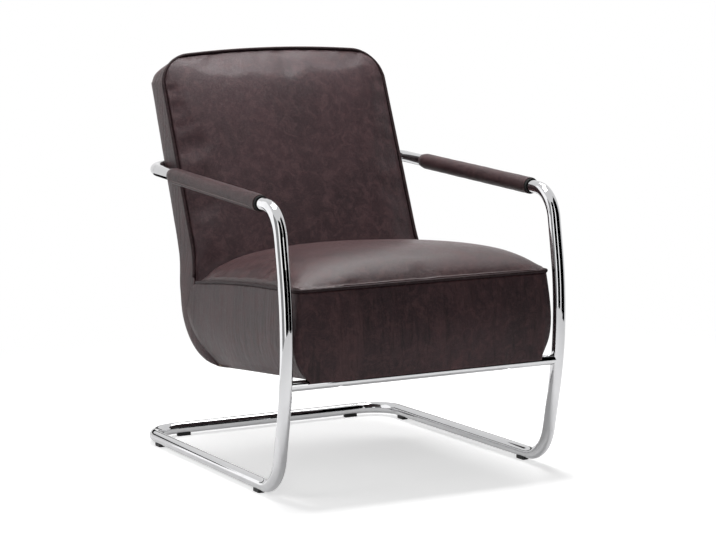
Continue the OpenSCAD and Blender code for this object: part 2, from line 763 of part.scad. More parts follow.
// Where the seat ends against the back, at height z
function seat_end_y(x, z) = seat_y_at(back_w(x, back_low) - fit, z);
function end_full(share) = seat_crown * crown(share, seat_power_share, rear_full_share);
function end_z(share) = crease[1] + max(0, end_full(share) - crease_drop);
function seat_top_point(i, j, d) = let (
    f = row_share(i, seat_rows), share = column_share(j), edge = seam_gap + d,
    s_full = seat_end_y(share * (seat_half - edge), end_z(share)) + seat_front_out - edge,
    s = f * s_full, y = s - seat_front_out + edge,
    x = share * (seat_half - edge - corner_fall(s + over) - side_draw(y)),
    full_share = mix(seat_full_share, rear_full_share, s / s_full),
    full = seat_crown * crown(share, seat_power_share, full_share) * (1 - exp(-s / crown_rise_l)),
    drop = crease_drop * exp(-(s_full - s) / crown_rise_l * 2) * (1 - exp(-s / crown_rise_l)))
    [x, y, seam_z(y) + full - min(full, drop) - d];

module seat_top_cover() {
    color([0.24, 0.17, 0.18]) in_seat() sheet(
        [for (i = [0 : seat_rows]) [for (j = [0 : seat_cols]) seat_top_point(i, j, 0)]],
        [for (i = [0 : seat_rows]) [for (j = [0 : seat_cols]) seat_top_point(i, j, leather_t)]]);
}

foam_z = felt_z + felt_t + fit;
module seat_foam() {
    color([0.86, 0.84, 0.75]) in_seat() sheet(
        [for (i = [0 : seat_rows]) [for (j = [0 : seat_cols]) seat_top_point(i, j, skin)]],
        [for (i = [0 : seat_rows]) [for (j = [0 : seat_cols])
            let (p = seat_top_point(i, j, skin), end = seat_end_y(p[0], foam_z) - over)
            [p[0], min(p[1], end), foam_z]]]);
}

// Seat band: rings from the rear left round the front to the rear right, each from top to bottom
band_points = 10;
side_rings = 7;
front_rings = 7;
band_front_y = -seat_front_out;

// Seam between the seat's side and the band of the back, round the heel's centre. Turn 0 is straight down.
seam_mid_turn = 60;
seam_low_turn = 4;
seam_mid_share = 0.72;
seam_low_w = 3;
seam_top = [seat_y_at(0, crease_z - seam_gap), crease_z - seam_gap];
crease_turn = atan2(seam_top[0] - heel_c[0], heel_c[1] - seam_top[1]);
crease_r = norm(seam_top - heel_c);
function seam_r(turn) = turn < seam_mid_turn
    ? mix(seam_mid_share * heel_r, heel_r - seam_low_w,
          pow((seam_mid_turn - turn) / (seam_mid_turn - seam_low_turn), 3))
    : mix(seam_mid_share * heel_r, crease_r, pow((turn - seam_mid_turn) / (crease_turn - seam_mid_turn), 2));
function heel_point(r, turn) = heel_c + r * [sin(turn), -cos(turn)];
// Point of the outline in that direction: on the arc, or above it on the rear face
function outline_point(turn) = heel_point(heel_r / cos(max(0, turn + rear_turn - 90)), turn);
function seam_turn(t) = mix(crease_turn, seam_low_turn, t);

function side_out(t) = seat_bulge * sin(180 * t) - side_tuck * pow(t, 6);
function front_out(t) = (seat_bulge + leather_t) * sin(180 * t) - front_tuck * pow(t, 1.4);
function band_out(t, front, d) = mix(side_out(t), front_out(t), front) - d;
function band_top_z(y) = seam_z(y) - seam_gap;
corner_lift = 1;
function band_low_z(front) = mix(corner_lift, -front_lip, ease((front - 0.5) * 2));

// A point of a side ring: f is 0 at the corner and 1 at the rear seam
function side_point(side, f, t, d) = let (
    rear = heel_point(seam_r(seam_turn(t)) - fit, seam_turn(t)),
    p = mix([corner_y, mix(band_top_z(corner_y), band_low_z(0), t)], rear, f),
    lift = (1 - t) * (band_top_z(p[0]) - mix(band_top_z(corner_y), seam_top[1], f)),
    sag = pow(t, 8) * (rear[1] - band_low_z(0)) * (f - pow(f, 4)))
    [side * (seat_half + band_out(t, 0, d) - side_in * ease(f * 3 - 2)), p[0], p[1] + lift - sag];
// A point of a corner ring: turn runs from 0 at the side to 90 at the front
function corner_point(side, turn, t, d) = let (
    front = ease(turn / 90), o = seat_corner_r + band_out(t, front, d),
    c = pow(cos(turn), 2 / corner_power_share), n = pow(sin(turn), 2 / corner_power_share),
    z = mix(band_top_z(corner_y - seat_corner_r * n), band_low_z(front), t))
    [side * (seat_half - seat_corner_r + o * c), corner_y - o * n, z];
front_crown = 2;
function front_point(x_share, t, d) = let (
    x = x_share * (seat_half - seat_corner_r),
    o = band_out(t, 1, d) + front_crown * (1 - pow(x_share, 2)) * sin(180 * t))
    [x, band_front_y - o, mix(band_top_z(band_front_y), -front_lip, t)];

function band_ring(kind, side, f, d) = [for (t = steps(band_points)) kind == 0 ? side_point(side, f, t, d)
    : kind == 1 ? corner_point(side, f * 90, t, d) : front_point(f, t, d)];
function seat_band(d) = concat(
    [for (f = steps(side_rings)) band_ring(0, -1, 1 - f, d)],
    [for (i = [1 : corner_rings - 1]) band_ring(1, -1, i / corner_rings, d)],
    [for (f = steps(front_rings)) band_ring(2, 1, 2 * f - 1, d)],
    [for (i = [corner_rings - 1 : -1 : 1]) band_ring(1, 1, i / corner_rings, d)],
    [for (f = steps(side_rings)) band_ring(0, 1, f, d)]);

module seat_band_cover() color([0.25, 0.18, 0.19]) in_seat() sheet(seat_band(leather_t), seat_band(0));

// Line of the seat's seam, which the piping follows from the rear left to the rear right
function seam_point(side, x, y) = [side * x, y, seam_z(y)];
function seam_corner(side, turn) = seam_point(side,
    seat_half - seat_corner_r * (1 - pow(cos(turn), 2 / corner_power_share)),
    corner_y - seat_corner_r * pow(sin(turn), 2 / corner_power_share));
function seam_side(side, f) = let (y = mix(corner_y, piping_end_y, f))
    seam_point(side, seat_half - side_draw(y), y);
piping_steps = 11;
seat_seam = concat(
    [for (f = steps(piping_steps)) seam_side(-1, 1 - f)],
    [for (i = [1 : 2 * corner_rings - 1]) seam_corner(-1, 45 * i / corner_rings)],
    [for (f = steps(piping_steps)) seam_point(1, (2 * f - 1) * (seat_half - seat_corner_r), band_front_y)],
    [for (i = [2 * corner_rings - 1 : -1 : 1]) seam_corner(1, 45 * i / corner_rings)],
    [for (f = steps(piping_steps)) seam_side(1, f)]);
piping_sides = 6;
module seat_piping() color([0.18, 0.12, 0.13]) in_seat() cord(seat_seam, piping_d / 2, piping_sides);

// Back: half its width at height a. Above corner_a the sides turn in towards the top.
low_flare = back_inset - side_in;
crease_back = to_back(crease);
flare_a = crease_back[1] * 3 / 4;
function band_half(a) = back_half + low_flare * ease((flare_a - a) / (flare_a - crease_back[1]));
function back_row_half(a, edge) = band_half(a) - edge - (a > corner_a
    ? top_corner_r - sqrt(max(0, pow(top_corner_r, 2) - pow(a - corner_a, 2))) : 0);
function lift_share(a) = pow(max(0, ease((a - back_low) / (corner_a - back_low))), 3);

back_rows = 15;
back_cols = 16;
function back_point(i, j, d) = let (
    share = sin(180 * j / back_cols - 90), edge = seam_gap + d, top = back_top - edge,
    a = back_low + d + (top - back_low - d) * sin(90 * i / back_rows),
    x = share * back_row_half(min(a, top - over), edge),
    lift = top_rise * (1 - pow(x / back_half, 2)) * lift_share(a))
    [x, back_w(x * back_half / (back_half - edge), a + edge) + d, a + lift];

module back_front_cover() {
    color([0.24, 0.17, 0.18]) in_back() sheet(
        [for (i = [0 : back_rows]) [for (j = [0 : back_cols]) back_point(i, j, leather_t)]],
        [for (i = [0 : back_rows]) [for (j = [0 : back_cols]) back_point(i, j, 0)]]);
}

foam_back_w = beam_w - 2 * fit - strap_t;
module back_foam() {
    color([0.86, 0.84, 0.75]) in_back() sheet(
        [for (i = [0 : back_rows]) [for (j = [0 : back_cols])
            let (p = back_point(i, j, skin)) [p[0], foam_back_w, p[2]]]],
        [for (i = [0 : back_rows]) [for (j = [0 : back_cols]) back_point(i, j, skin)]]);
}

// Back band: rings from the heel on the right over the top to the heel on the left
straight_rings = 6;
band_steps = 7;
heel_top_a = to_back(outline_point(crease_turn))[1];
function band_fall(t, depth) = leather_t * sin(180 * t) - depth * pow(t, 8);
// Points of a ring between two places at the given half widths
function ring(side, from, to, x_from, x_to, d) = [for (t = steps(band_steps))
    let (p = mix(from, to, t) - d * pow(t, 4) / norm(to - from) * (to - from))
    [side * (x_from + band_fall(t, x_from - x_to) - d), p[0], p[1]]];
function heel_ring(side, k, d) = let (t = k / band_points, turn = seam_turn(t),
    x_seam = seat_half + side_out(t) - side_in)
    ring(side, to_back(heel_point(seam_r(turn) + fit, turn)), to_back(outline_point(turn)), x_seam,
         min(x_seam, back_half - band_tuck), d);
function straight_ring(side, k, d) = let (f = k / straight_rings, a = mix(to_back(seam_top)[1], corner_a, f),
    rear_a = mix(heel_top_a, back_top - rear_corner_r, f))
    ring(side, [seam_gap, a], [rear_w(rear_a), rear_a], band_half(a), back_half - band_tuck, d);
function edge_ring(k, d) = [for (t = steps(band_steps)) let (
    p = edge_point(k, band_fall(t, band_tuck) - d, mix(top_corner_r, rear_corner_r, t)))
    [p[0], mix(seam_gap, rear_w(p[1]), t) - d * pow(t, 4), p[1]]];
function back_band(d) = concat(
    [for (k = [band_points : -1 : 0]) heel_ring(1, k, d)],
    [for (k = [1 : straight_rings - 1]) straight_ring(1, k, d)],
    [for (k = [0 : edge_rings]) edge_ring(k, d)],
    [for (k = [straight_rings - 1 : -1 : 1]) straight_ring(-1, k, d)],
    [for (k = [0 : band_points]) heel_ring(-1, k, d)]);

module back_band_cover() color([0.25, 0.18, 0.19]) in_back() sheet(back_band(0), back_band(leather_t));

piping_low_a = crease_back[1] + 2 * piping_d;
function piping_side(side, f) = let (a = mix(piping_low_a, corner_a, f)) [side * band_half(a), 0, a];
function piping_edge(k) = let (p = edge_point(k, 0, top_corner_r)) [p[0], 0, p[1]];
back_seam = concat(
    [for (f = steps(piping_steps)) if (f < 1) piping_side(1, f)],
    [for (k = [0 : 0.5 : edge_rings]) piping_edge(k)],
    [for (f = steps(piping_steps)) if (f > 0) piping_side(-1, 1 - f)]);
module back_piping() color([0.12, 0.08, 0.09]) in_back() cord(back_seam, piping_d / 2, piping_sides);

frame_tube_left();
frame_tube_right();
base_joint_sleeve();
upper_joint_sleeve();
front_cross_tube();
glides();
arm_pad_foam_left();
arm_pad_foam_right();
arm_pad_cover_left();
arm_pad_cover_right();
side_panel_left();
side_panel_right();
foot_board();
front_rail();
rear_rail();
back_mid_rail();
back_top_rail();
back_low_rail();
corner_blocks();
seat_screws();
seat_tee_nuts();
back_screws();
back_tee_nuts();
seat_springs();
spring_clips();
seat_felt();
seat_foam();
front_pad();
side_pad_left();
side_pad_right();
back_webbing();
back_foam();
seat_top_cover();
seat_band_cover();
seat_piping();
back_front_cover();
back_band_cover();
back_piping();
rear_cover();
dust_cover();
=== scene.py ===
"""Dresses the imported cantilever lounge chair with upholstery, finishes, studio light and a camera."""

import json
import logging
import math
from collections.abc import Callable
from dataclasses import dataclass
from enum import Enum

import bmesh
import bpy
from mathutils import Matrix, Vector, noise


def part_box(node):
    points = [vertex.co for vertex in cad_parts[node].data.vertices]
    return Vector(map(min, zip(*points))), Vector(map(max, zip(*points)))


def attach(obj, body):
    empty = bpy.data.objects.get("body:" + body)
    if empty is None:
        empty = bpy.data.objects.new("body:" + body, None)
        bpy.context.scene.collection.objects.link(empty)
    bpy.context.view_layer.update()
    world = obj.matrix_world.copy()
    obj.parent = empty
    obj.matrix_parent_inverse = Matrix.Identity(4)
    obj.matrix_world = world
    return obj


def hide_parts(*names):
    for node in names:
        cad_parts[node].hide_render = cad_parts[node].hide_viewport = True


Colour = tuple[float, float, float]
Turn = tuple[float, float, float]
Span = tuple[float, float]
Socket = bpy.types.NodeSocket
Node = bpy.types.Node
Mesh = bmesh.types.BMesh
Piece = bpy.types.Object
Value = Socket | float
Paint = Socket | tuple

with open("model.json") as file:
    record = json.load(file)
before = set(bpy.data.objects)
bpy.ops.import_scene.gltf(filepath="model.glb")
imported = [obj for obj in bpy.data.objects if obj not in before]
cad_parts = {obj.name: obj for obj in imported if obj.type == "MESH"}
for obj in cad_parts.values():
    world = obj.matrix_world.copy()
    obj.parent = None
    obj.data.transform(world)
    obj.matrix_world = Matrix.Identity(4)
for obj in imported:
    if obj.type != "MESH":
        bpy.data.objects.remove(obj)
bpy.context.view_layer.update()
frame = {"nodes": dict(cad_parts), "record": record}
NODES: dict[str, Piece] = frame["nodes"]
LOG = logging.getLogger("lounge_chair")
MM = 0.001
X_AXIS = Vector((1.0, 0.0, 0.0))
Y_AXIS = Vector((0.0, 1.0, 0.0))
Z_AXIS = Vector((0.0, 0.0, 1.0))
UNTURNED = (0.0, 0.0, 0.0)
WHITE = (1.0, 1.0, 1.0, 1.0)


class NodeSheet:
    """Lays nodes into one material or group and joins them."""

    def __init__(self, tree: bpy.types.NodeTree) -> None:
        """Empties the tree that the nodes go into, and keeps it."""
        self.tree = tree
        tree.nodes.clear()

    def feed(self, node: Node, inputs: dict) -> None:
        """Sets a node's inputs or links them.

        Args:
            node: The node.
            inputs: Value or source socket for each named or numbered input.
        """
        for key, value in inputs.items():
            if isinstance(value, Socket):
                self.tree.links.new(value, node.inputs[key])
            else:
                node.inputs[key].default_value = value

    def add(self, kind: str, inputs: dict | None = None, **settings) -> Node:
        """Adds a node.

        Args:
            kind: The node's Blender type.
            inputs: Value or source socket for each named or numbered input.
            settings: Attributes of the node.

        Returns:
            The new node.
        """
        node = self.tree.nodes.new(kind)
        for name, value in settings.items():
            setattr(node, name, value)
        self.feed(node, inputs or {})
        return node

    def math(self, operation: str, a: Value, b: Value = 0.0, c: Value = 0.0) -> Socket:
        """Adds a Math node and returns its result."""
        return self.add("ShaderNodeMath", {0: a, 1: b, 2: c}, operation=operation).outputs[0]

    def times(self, a: Value, b: Value) -> Socket:
        """Multiplies two values and returns the product."""
        return self.math("MULTIPLY", a, b)

    def weigh(self, a: Value, a_share: float, b: Value, b_share: float) -> Socket:
        """Adds two values, each by its share, and returns the sum."""
        return self.math("MULTIPLY_ADD", a, a_share, self.times(b, b_share))

    def spread(self, value: Value, low: float, high: float, to_low: float = 0.0,
               to_high: float = 1.0) -> Socket:
        """Maps a value from one range smoothly to another and returns it."""
        inputs = {"Value": value, "From Min": low, "From Max": high, "To Min": to_low, "To Max": to_high}
        return self.add("ShaderNodeMapRange", inputs, interpolation_type="SMOOTHSTEP").outputs["Result"]

    def blend(self, factor: Value, a: Paint, b: Paint) -> Socket:
        """Mixes two colours and returns the result."""
        return self.add("ShaderNodeMix", {0: factor, 6: a, 7: b}, data_type="RGBA").outputs[2]

    def noise(self, vector: Socket, scale: Value, detail: float = 3.0, rough: float = 0.5,
              warp: float = 0.0) -> Socket:
        """Adds a Noise Texture and returns its grey value."""
        inputs = {"Vector": vector, "Scale": scale, "Detail": detail, "Roughness": rough, "Distortion": warp}
        return self.add("ShaderNodeTexNoise", inputs).outputs["Fac"]

    def turned(self, vector: Socket, angles: Turn, scale: Turn = (1.0, 1.0, 1.0)) -> Socket:
        """Turns a coordinate by degrees, stretches it and returns it."""
        inputs = {"Vector": vector, "Rotation": [math.radians(a) for a in angles], "Scale": scale}
        return self.add("ShaderNodeMapping", inputs).outputs[0]


def rgba(colour: Colour) -> tuple[float, float, float, float]:
    """Adds an opaque alpha to a colour."""
    return (*colour, 1.0)


def new_material(name: str) -> tuple[bpy.types.Material, NodeSheet]:
    """Makes an empty node material and returns it with its node sheet."""
    material = bpy.data.materials.new(name)
    material.use_nodes = True
    return material, NodeSheet(material.node_tree)


@dataclass(frozen=True)
class Effect:
    """A node group that finishes share. It takes a coordinate and one number, its scale."""

    name: str

    def lay(self, sheet: NodeSheet, place: Socket, scale: Socket) -> dict[str, Socket]:
        """Lays the group's nodes.

        Args:
            sheet: The group's node sheet.
            place: The coordinate.
            scale: How fine the effect is.

        Returns:
            The group's results by name.
        """
        raise NotImplementedError

    def make(self) -> bpy.types.NodeTree:
        """Makes the group and returns its node tree."""
        tree = bpy.data.node_groups.new(self.name, "ShaderNodeTree")
        tree.interface.new_socket("Vector", in_out="INPUT", socket_type="NodeSocketVector")
        tree.interface.new_socket("Scale", in_out="INPUT", socket_type="NodeSocketFloat")
        sheet = NodeSheet(tree)
        given = sheet.add("NodeGroupInput").outputs
        results = self.lay(sheet, given["Vector"], given["Scale"])
        for key in results:
            tree.interface.new_socket(key, in_out="OUTPUT", socket_type="NodeSocketFloat")
        sheet.add("NodeGroupOutput", results)
        return tree

    def use(self, sheet: NodeSheet, place: Socket, scale: float) -> bpy.types.bpy_prop_collection:
        """Places the group in a material; its first use makes it.

        Args:
            sheet: The material's node sheet.
            place: The coordinate.
            scale: How fine the effect is.

        Returns:
            The group node's outputs.
        """
        tree = bpy.data.node_groups.get(self.name) or self.make()
        return sheet.add("ShaderNodeGroup", {"Vector": place, "Scale": scale}, node_tree=tree).outputs


@dataclass(frozen=True)
class LeatherGrain(Effect):
    """Pebbled grain with fine pores between the pebbles."""

    name: str = "leather_grain"
    warp_scale: float = 0.5
    warp_reach: float = 0.0012
    pebble_width: float = 0.28
    pore_width: float = 0.1
    fine_scale: float = 2.6
    pebble_share: float = 0.8
    fine_share: float = 0.35

    def lay(self, sheet: NodeSheet, place: Socket, scale: Socket) -> dict[str, Socket]:
        """Lays pebbles of two sizes over a warped coordinate."""
        warp = sheet.add("ShaderNodeTexNoise", {"Vector": place, "Scale": sheet.times(scale, self.warp_scale),
                                                "Detail": 2.0}).outputs["Color"]
        centred = sheet.add("ShaderNodeVectorMath", {0: warp, 1: (0.5, 0.5, 0.5)}, operation="SUBTRACT")
        moves = {0: centred.outputs[0], 1: [self.warp_reach] * 3, 2: place}
        warped = sheet.add("ShaderNodeVectorMath", moves, operation="MULTIPLY_ADD").outputs[0]
        edge = sheet.add("ShaderNodeTexVoronoi", {"Vector": warped, "Scale": scale},
                         feature="DISTANCE_TO_EDGE").outputs["Distance"]
        pebble = sheet.spread(edge, 0.0, self.pebble_width)
        fine = sheet.noise(warped, sheet.times(scale, self.fine_scale), detail=2.0)
        return {"Height": sheet.weigh(pebble, self.pebble_share, fine, self.fine_share),
                "Pores": sheet.spread(edge, self.pore_width, 0.0)}


@dataclass(frozen=True)
class SoftMottle(Effect):
    """Clouds and pull-up marks of rubbed leather."""

    name: str = "soft_mottle"
    cloud_span: Span = (0.34, 0.66)
    blotch_scale: float = 9.0
    blotch_span: Span = (0.44, 0.66)
    vein_scale: float = 5.0
    vein_width: float = 0.035

    def lay(self, sheet: NodeSheet, place: Socket, scale: Socket) -> dict[str, Socket]:
        """Lays broad clouds, smaller blotches and thin streaks."""
        clouds = sheet.noise(place, scale, detail=3.0, rough=0.55, warp=0.6)
        blotches = sheet.noise(place, sheet.times(scale, self.blotch_scale), detail=5.0, rough=0.68, warp=0.9)
        veins = sheet.noise(place, sheet.times(scale, self.vein_scale), detail=6.0, rough=0.72, warp=2.2)
        ridge = sheet.math("ABSOLUTE", sheet.math("SUBTRACT", veins, 0.5))
        return {"Clouds": sheet.spread(clouds, *self.cloud_span),
                "Blotches": sheet.spread(blotches, *self.blotch_span),
                "Veins": sheet.spread(ridge, self.vein_width, 0.0)}


@dataclass(frozen=True)
class SoftFolds(Effect):
    """Shallow folds that run along the coordinate's third axis."""

    name: str = "soft_folds"
    stretch: Turn = (1.0, 1.0, 0.09)
    thin_scale: float = 4.5
    broad_share: float = 0.7
    thin_share: float = 0.3
    crease_shade_span: Span = (0.5, 0.72)
    streak_span: Span = (0.5, 0.64)

    def lay(self, sheet: NodeSheet, place: Socket, scale: Socket) -> dict[str, Socket]:
        """Lays stretched noise in two widths, and a mask of thin lines for painted crease shade."""
        long = sheet.turned(place, UNTURNED, self.stretch)
        broad = sheet.noise(long, scale, detail=3.0, rough=0.5, warp=0.4)
        thin = sheet.noise(long, sheet.times(scale, self.thin_scale), detail=3.0, rough=0.6, warp=0.3)
        height = sheet.weigh(broad, self.broad_share, thin, self.thin_share)
        return {"Height": height, "Lines": sheet.spread(thin, *self.crease_shade_span),
                "Streaks": sheet.spread(height, *self.streak_span)}


@dataclass(frozen=True)
class EdgeWear(Effect):
    """Rubbed edges, broken up by noise."""

    name: str = "edge_wear"
    edge_span: Span = (0.505, 0.56)
    noise_span: Span = (0.35, 0.65)

    def lay(self, sheet: NodeSheet, place: Socket, scale: Socket) -> dict[str, Socket]:
        """Lays the mesh's pointiness under noise."""
        point = sheet.add("ShaderNodeNewGeometry").outputs["Pointiness"]
        edge = sheet.spread(point, *self.edge_span)
        broken = sheet.spread(sheet.noise(place, scale, detail=4.0, rough=0.6), *self.noise_span)
        return {"Wear": sheet.times(edge, broken)}


@dataclass(frozen=True)
class Hairlines(Effect):
    """Fine polishing lines and smears on metal."""

    name: str = "hairlines"
    turns: tuple[Turn, Turn] = ((20.0, 10.0, 0.0), (-30.0, 0.0, 15.0))
    stretches: tuple[Turn, Turn] = ((1.0, 0.05, 1.0), (0.05, 1.0, 1.0))
    smear_scale: float = 0.02
    smear_span: Span = (0.4, 0.7)

    def lay(self, sheet: NodeSheet, place: Socket, scale: Socket) -> dict[str, Socket]:
        """Lays lines in two directions and soft smears."""
        one, two = (sheet.noise(sheet.turned(place, turn, stretch), scale, detail=2.0)
                    for turn, stretch in zip(self.turns, self.stretches))
        smears = sheet.noise(place, sheet.times(scale, self.smear_scale), detail=4.0, rough=0.6, warp=0.5)
        return {"Height": sheet.weigh(one, 0.5, two, 0.5), "Smears": sheet.spread(smears, *self.smear_span)}


@dataclass(frozen=True)
class WoodFigure(Effect):
    """Wood grain that runs along the coordinate's first axis."""

    name: str = "wood_figure"
    stretch: Turn = (0.08, 1.0, 1.0)
    fibre_scale: float = 18.0
    pore_scale: float = 40.0
    pore_span: Span = (0.62, 0.72)

    def lay(self, sheet: NodeSheet, place: Socket, scale: Socket) -> dict[str, Socket]:
        """Lays year rings, fibres and short pores."""
        long = sheet.turned(place, UNTURNED, self.stretch)
        rings = {"Vector": long, "Scale": scale, "Distortion": 6.0, "Detail": 3.0, "Detail Scale": 1.4}
        bands = sheet.add("ShaderNodeTexWave", rings, bands_direction="DIAGONAL").outputs["Fac"]
        fibres = sheet.noise(long, sheet.times(scale, self.fibre_scale), detail=3.0, rough=0.6)
        pores = sheet.noise(long, sheet.times(scale, self.pore_scale), detail=1.0)
        return {"Figure": sheet.weigh(bands, 0.5, fibres, 0.5), "Pores": sheet.spread(pores, *self.pore_span)}


@dataclass(frozen=True)
class Weave(Effect):
    """Threads that cross at right angles."""

    name: str = "weave"
    waver: float = 0.3
    fuzz_scale: float = 3.0
    thread_share: float = 0.8
    fuzz_share: float = 0.3

    def lay(self, sheet: NodeSheet, place: Socket, scale: Socket) -> dict[str, Socket]:
        """Lays two crossed bands with fuzz."""
        bands = {"Vector": place, "Scale": scale, "Distortion": self.waver}
        across, along = (sheet.add("ShaderNodeTexWave", bands, bands_direction=axis).outputs["Fac"]
                         for axis in "XZ")
        fuzz = sheet.noise(place, sheet.times(scale, self.fuzz_scale), detail=3.0, rough=0.7)
        threads = sheet.math("MAXIMUM", across, along)
        return {"Height": sheet.weigh(threads, self.thread_share, fuzz, self.fuzz_share),
                "Gaps": sheet.times(across, along)}


GRAIN, MOTTLE, FOLDS, WEAR = LeatherGrain(), SoftMottle(), SoftFolds(), EdgeWear()
HAIRLINES, FIGURE, WEAVE = Hairlines(), WoodFigure(), Weave()


@dataclass(frozen=True)
class Finish:
    """What every finish has: a name, a colour and how it makes its material."""

    name: str
    base: Colour

    def material(self) -> bpy.types.Material:
        """Gives the finish's material, made on first use."""
        material = bpy.data.materials.get(self.name)
        if material is None:
            material, sheet = new_material(self.name)
            place = sheet.add("ShaderNodeTexCoord").outputs["Object"]
            shader = sheet.add("ShaderNodeBsdfPrincipled")
            sheet.add("ShaderNodeOutputMaterial", {"Surface": shader.outputs[0]})
            self.lay(sheet, place, shader)
        return material

    def lay(self, sheet: NodeSheet, place: Socket, shader: Node) -> None:
        """Lays the finish's nodes.

        Args:
            sheet: The material's node sheet.
            place: The object coordinate.
            shader: The Principled shader.
        """
        raise NotImplementedError

    def coat(self, sheet: NodeSheet, shader: Node, under: Colour, layers: list[tuple],
             dull: Socket, rough: Span, bumps: list[tuple]) -> None:
        """Gives a shader its colour, roughness and relief.

        Args:
            sheet: The material's node sheet.
            shader: The Principled shader.
            under: The first colour.
            layers: Mask, share of the mask and colour of each layer over it.
            dull: Mask of the duller places.
            rough: Roughness of the shiniest and the dullest places.
            bumps: Height, depth in metres and strength of each bump, one over the other.
        """
        colour = rgba(under)
        for mask, share, over in layers:
            colour = sheet.blend(sheet.times(mask, share), colour, rgba(over))
        relief = {}
        for height, depth, strength in bumps:
            inputs = {"Height": height, "Distance": depth, "Strength": strength, **relief}
            relief = {"Normal": sheet.add("ShaderNodeBump", inputs).outputs[0]}
        roughness = sheet.spread(dull, 0.0, 1.0, *rough)
        sheet.feed(shader, {"Base Color": colour, "Roughness": roughness, **relief})


@dataclass(frozen=True)
class Leather(Finish):
    """Semi-aniline leather with grain, clouds, worn edges and shallow folds, and painted shade along its fold
    lines.
    """

    cloud: Colour
    rubbed: Colour
    pore_and_crease_shade: Colour = (0.010, 0.005, 0.006)
    cells: float = 850.0
    clouds: float = 5.0
    cloud_share: float = 0.85
    blotch_share: float = 0.45
    vein_share: float = 0.3
    folds: float = 26.0
    fold_depth: float = 0.0012
    fold_strength: float = 0.55
    lumps: float = 55.0
    lump_depth: float = 0.0010
    lump_strength: float = 0.5
    fold_turn: Turn = UNTURNED
    grain_depth: float = 0.00022
    grain_strength: float = 0.75
    rough: Span = (0.36, 0.5)
    shine: float = 0.2
    marks: float = 130.0
    wear_share: float = 0.5
    crease_shade_share: float = 0.25
    streak_share: float = 0.12
    pore_share: float = 0.55

    def lay(self, sheet: NodeSheet, place: Socket, shader: Node) -> None:
        """Lays clouds, wear, folds, painted crease shade, pores and pebbled grain."""
        grain = GRAIN.use(sheet, place, self.cells)
        mottle = MOTTLE.use(sheet, place, self.clouds)
        folds = FOLDS.use(sheet, sheet.turned(place, self.fold_turn), self.folds)
        wear = WEAR.use(sheet, place, self.marks)
        layers = [(mottle["Clouds"], self.cloud_share, self.cloud),
                  (mottle["Blotches"], self.blotch_share, self.rubbed),
                  (mottle["Veins"], self.vein_share, self.rubbed),
                  (wear["Wear"], self.wear_share, self.rubbed),
                  (folds["Streaks"], self.streak_share, self.rubbed),
                  # Painted shade: the pore colour darkens the thin fold lines, standing in for shade in the
                  # creases
                  (folds["Lines"], self.crease_shade_share, self.pore_and_crease_shade),
                  (grain["Pores"], self.pore_share, self.pore_and_crease_shade)]
        bumps = [(folds["Height"], self.fold_depth, self.fold_strength),
                 (sheet.noise(place, self.lumps, detail=3.0, rough=0.55, warp=0.4), self.lump_depth,
                  self.lump_strength),
                 (grain["Height"], self.grain_depth, self.grain_strength)]
        dull = sheet.weigh(grain["Pores"], 0.5, mottle["Blotches"], 0.5)
        self.coat(sheet, shader, self.base, layers, dull, self.rough, bumps)
        sheet.feed(shader, {"Specular IOR Level": self.shine})


@dataclass(frozen=True)
class Metal(Finish):
    """Plated or bare metal with polishing lines and smears."""

    rough: Span
    lines: float = 1500.0
    line_depth: float = 0.00001
    line_strength: float = 0.25
    smear_share: float = 0.3
    smear_shade: float = 0.9

    def lay(self, sheet: NodeSheet, place: Socket, shader: Node) -> None:
        """Lays polishing lines and slightly darker smears."""
        lines = HAIRLINES.use(sheet, place, self.lines)
        smeared = tuple(self.smear_shade * c for c in self.base)
        self.coat(sheet, shader, self.base, [(lines["Smears"], self.smear_share, smeared)], lines["Smears"],
                  self.rough, [(lines["Height"], self.line_depth, self.line_strength)])
        sheet.feed(shader, {"Metallic": 1.0})


@dataclass(frozen=True)
class Cellular(Finish):
    """Foam, felt or moulded plastic: a plain body with cells, fibres or a fine moulded texture."""

    deep: Colour
    cells: float
    depth: float
    rough: float = 0.9
    rough_span: float = 0.1
    strength: float = 0.8
    clouds: float = 14.0
    cloud_share: float = 0.4
    shine: float = 0.3

    def lay(self, sheet: NodeSheet, place: Socket, shader: Node) -> None:
        """Lays cells over soft clouds."""
        grain = GRAIN.use(sheet, place, self.cells)
        mottle = MOTTLE.use(sheet, place, self.clouds)
        layers = [(mottle["Clouds"], self.cloud_share, self.deep), (grain["Pores"], 1.0, self.deep)]
        rough = (self.rough - self.rough_span, self.rough)
        self.coat(sheet, shader, self.base, layers, grain["Pores"], rough,
                  [(grain["Height"], self.depth, self.strength)])
        sheet.feed(shader, {"Specular IOR Level": self.shine})


@dataclass(frozen=True)
class Timber(Finish):
    """Raw timber or plywood with grain along one axis."""

    late: Colour
    rings: float
    turn: Turn = UNTURNED
    marks: float = 90.0
    pore_shade: float = 0.5
    pore_share: float = 0.6
    wear_share: float = 0.4
    rough: Span = (0.55, 0.72)
    depth: float = 0.0002
    strength: float = 0.5

    def lay(self, sheet: NodeSheet, place: Socket, shader: Node) -> None:
        """Lays the timber's figure, pores and rubbed edges."""
        wood = FIGURE.use(sheet, sheet.turned(place, self.turn), self.rings)
        wear = WEAR.use(sheet, place, self.marks)
        dark = tuple(self.pore_shade * c for c in self.late)
        layers = [(wood["Figure"], 1.0, self.late), (wood["Pores"], self.pore_share, dark),
                  (wear["Wear"], self.wear_share, dark)]
        self.coat(sheet, shader, self.base, layers, wood["Figure"], self.rough,
                  [(wood["Figure"], self.depth, self.strength)])


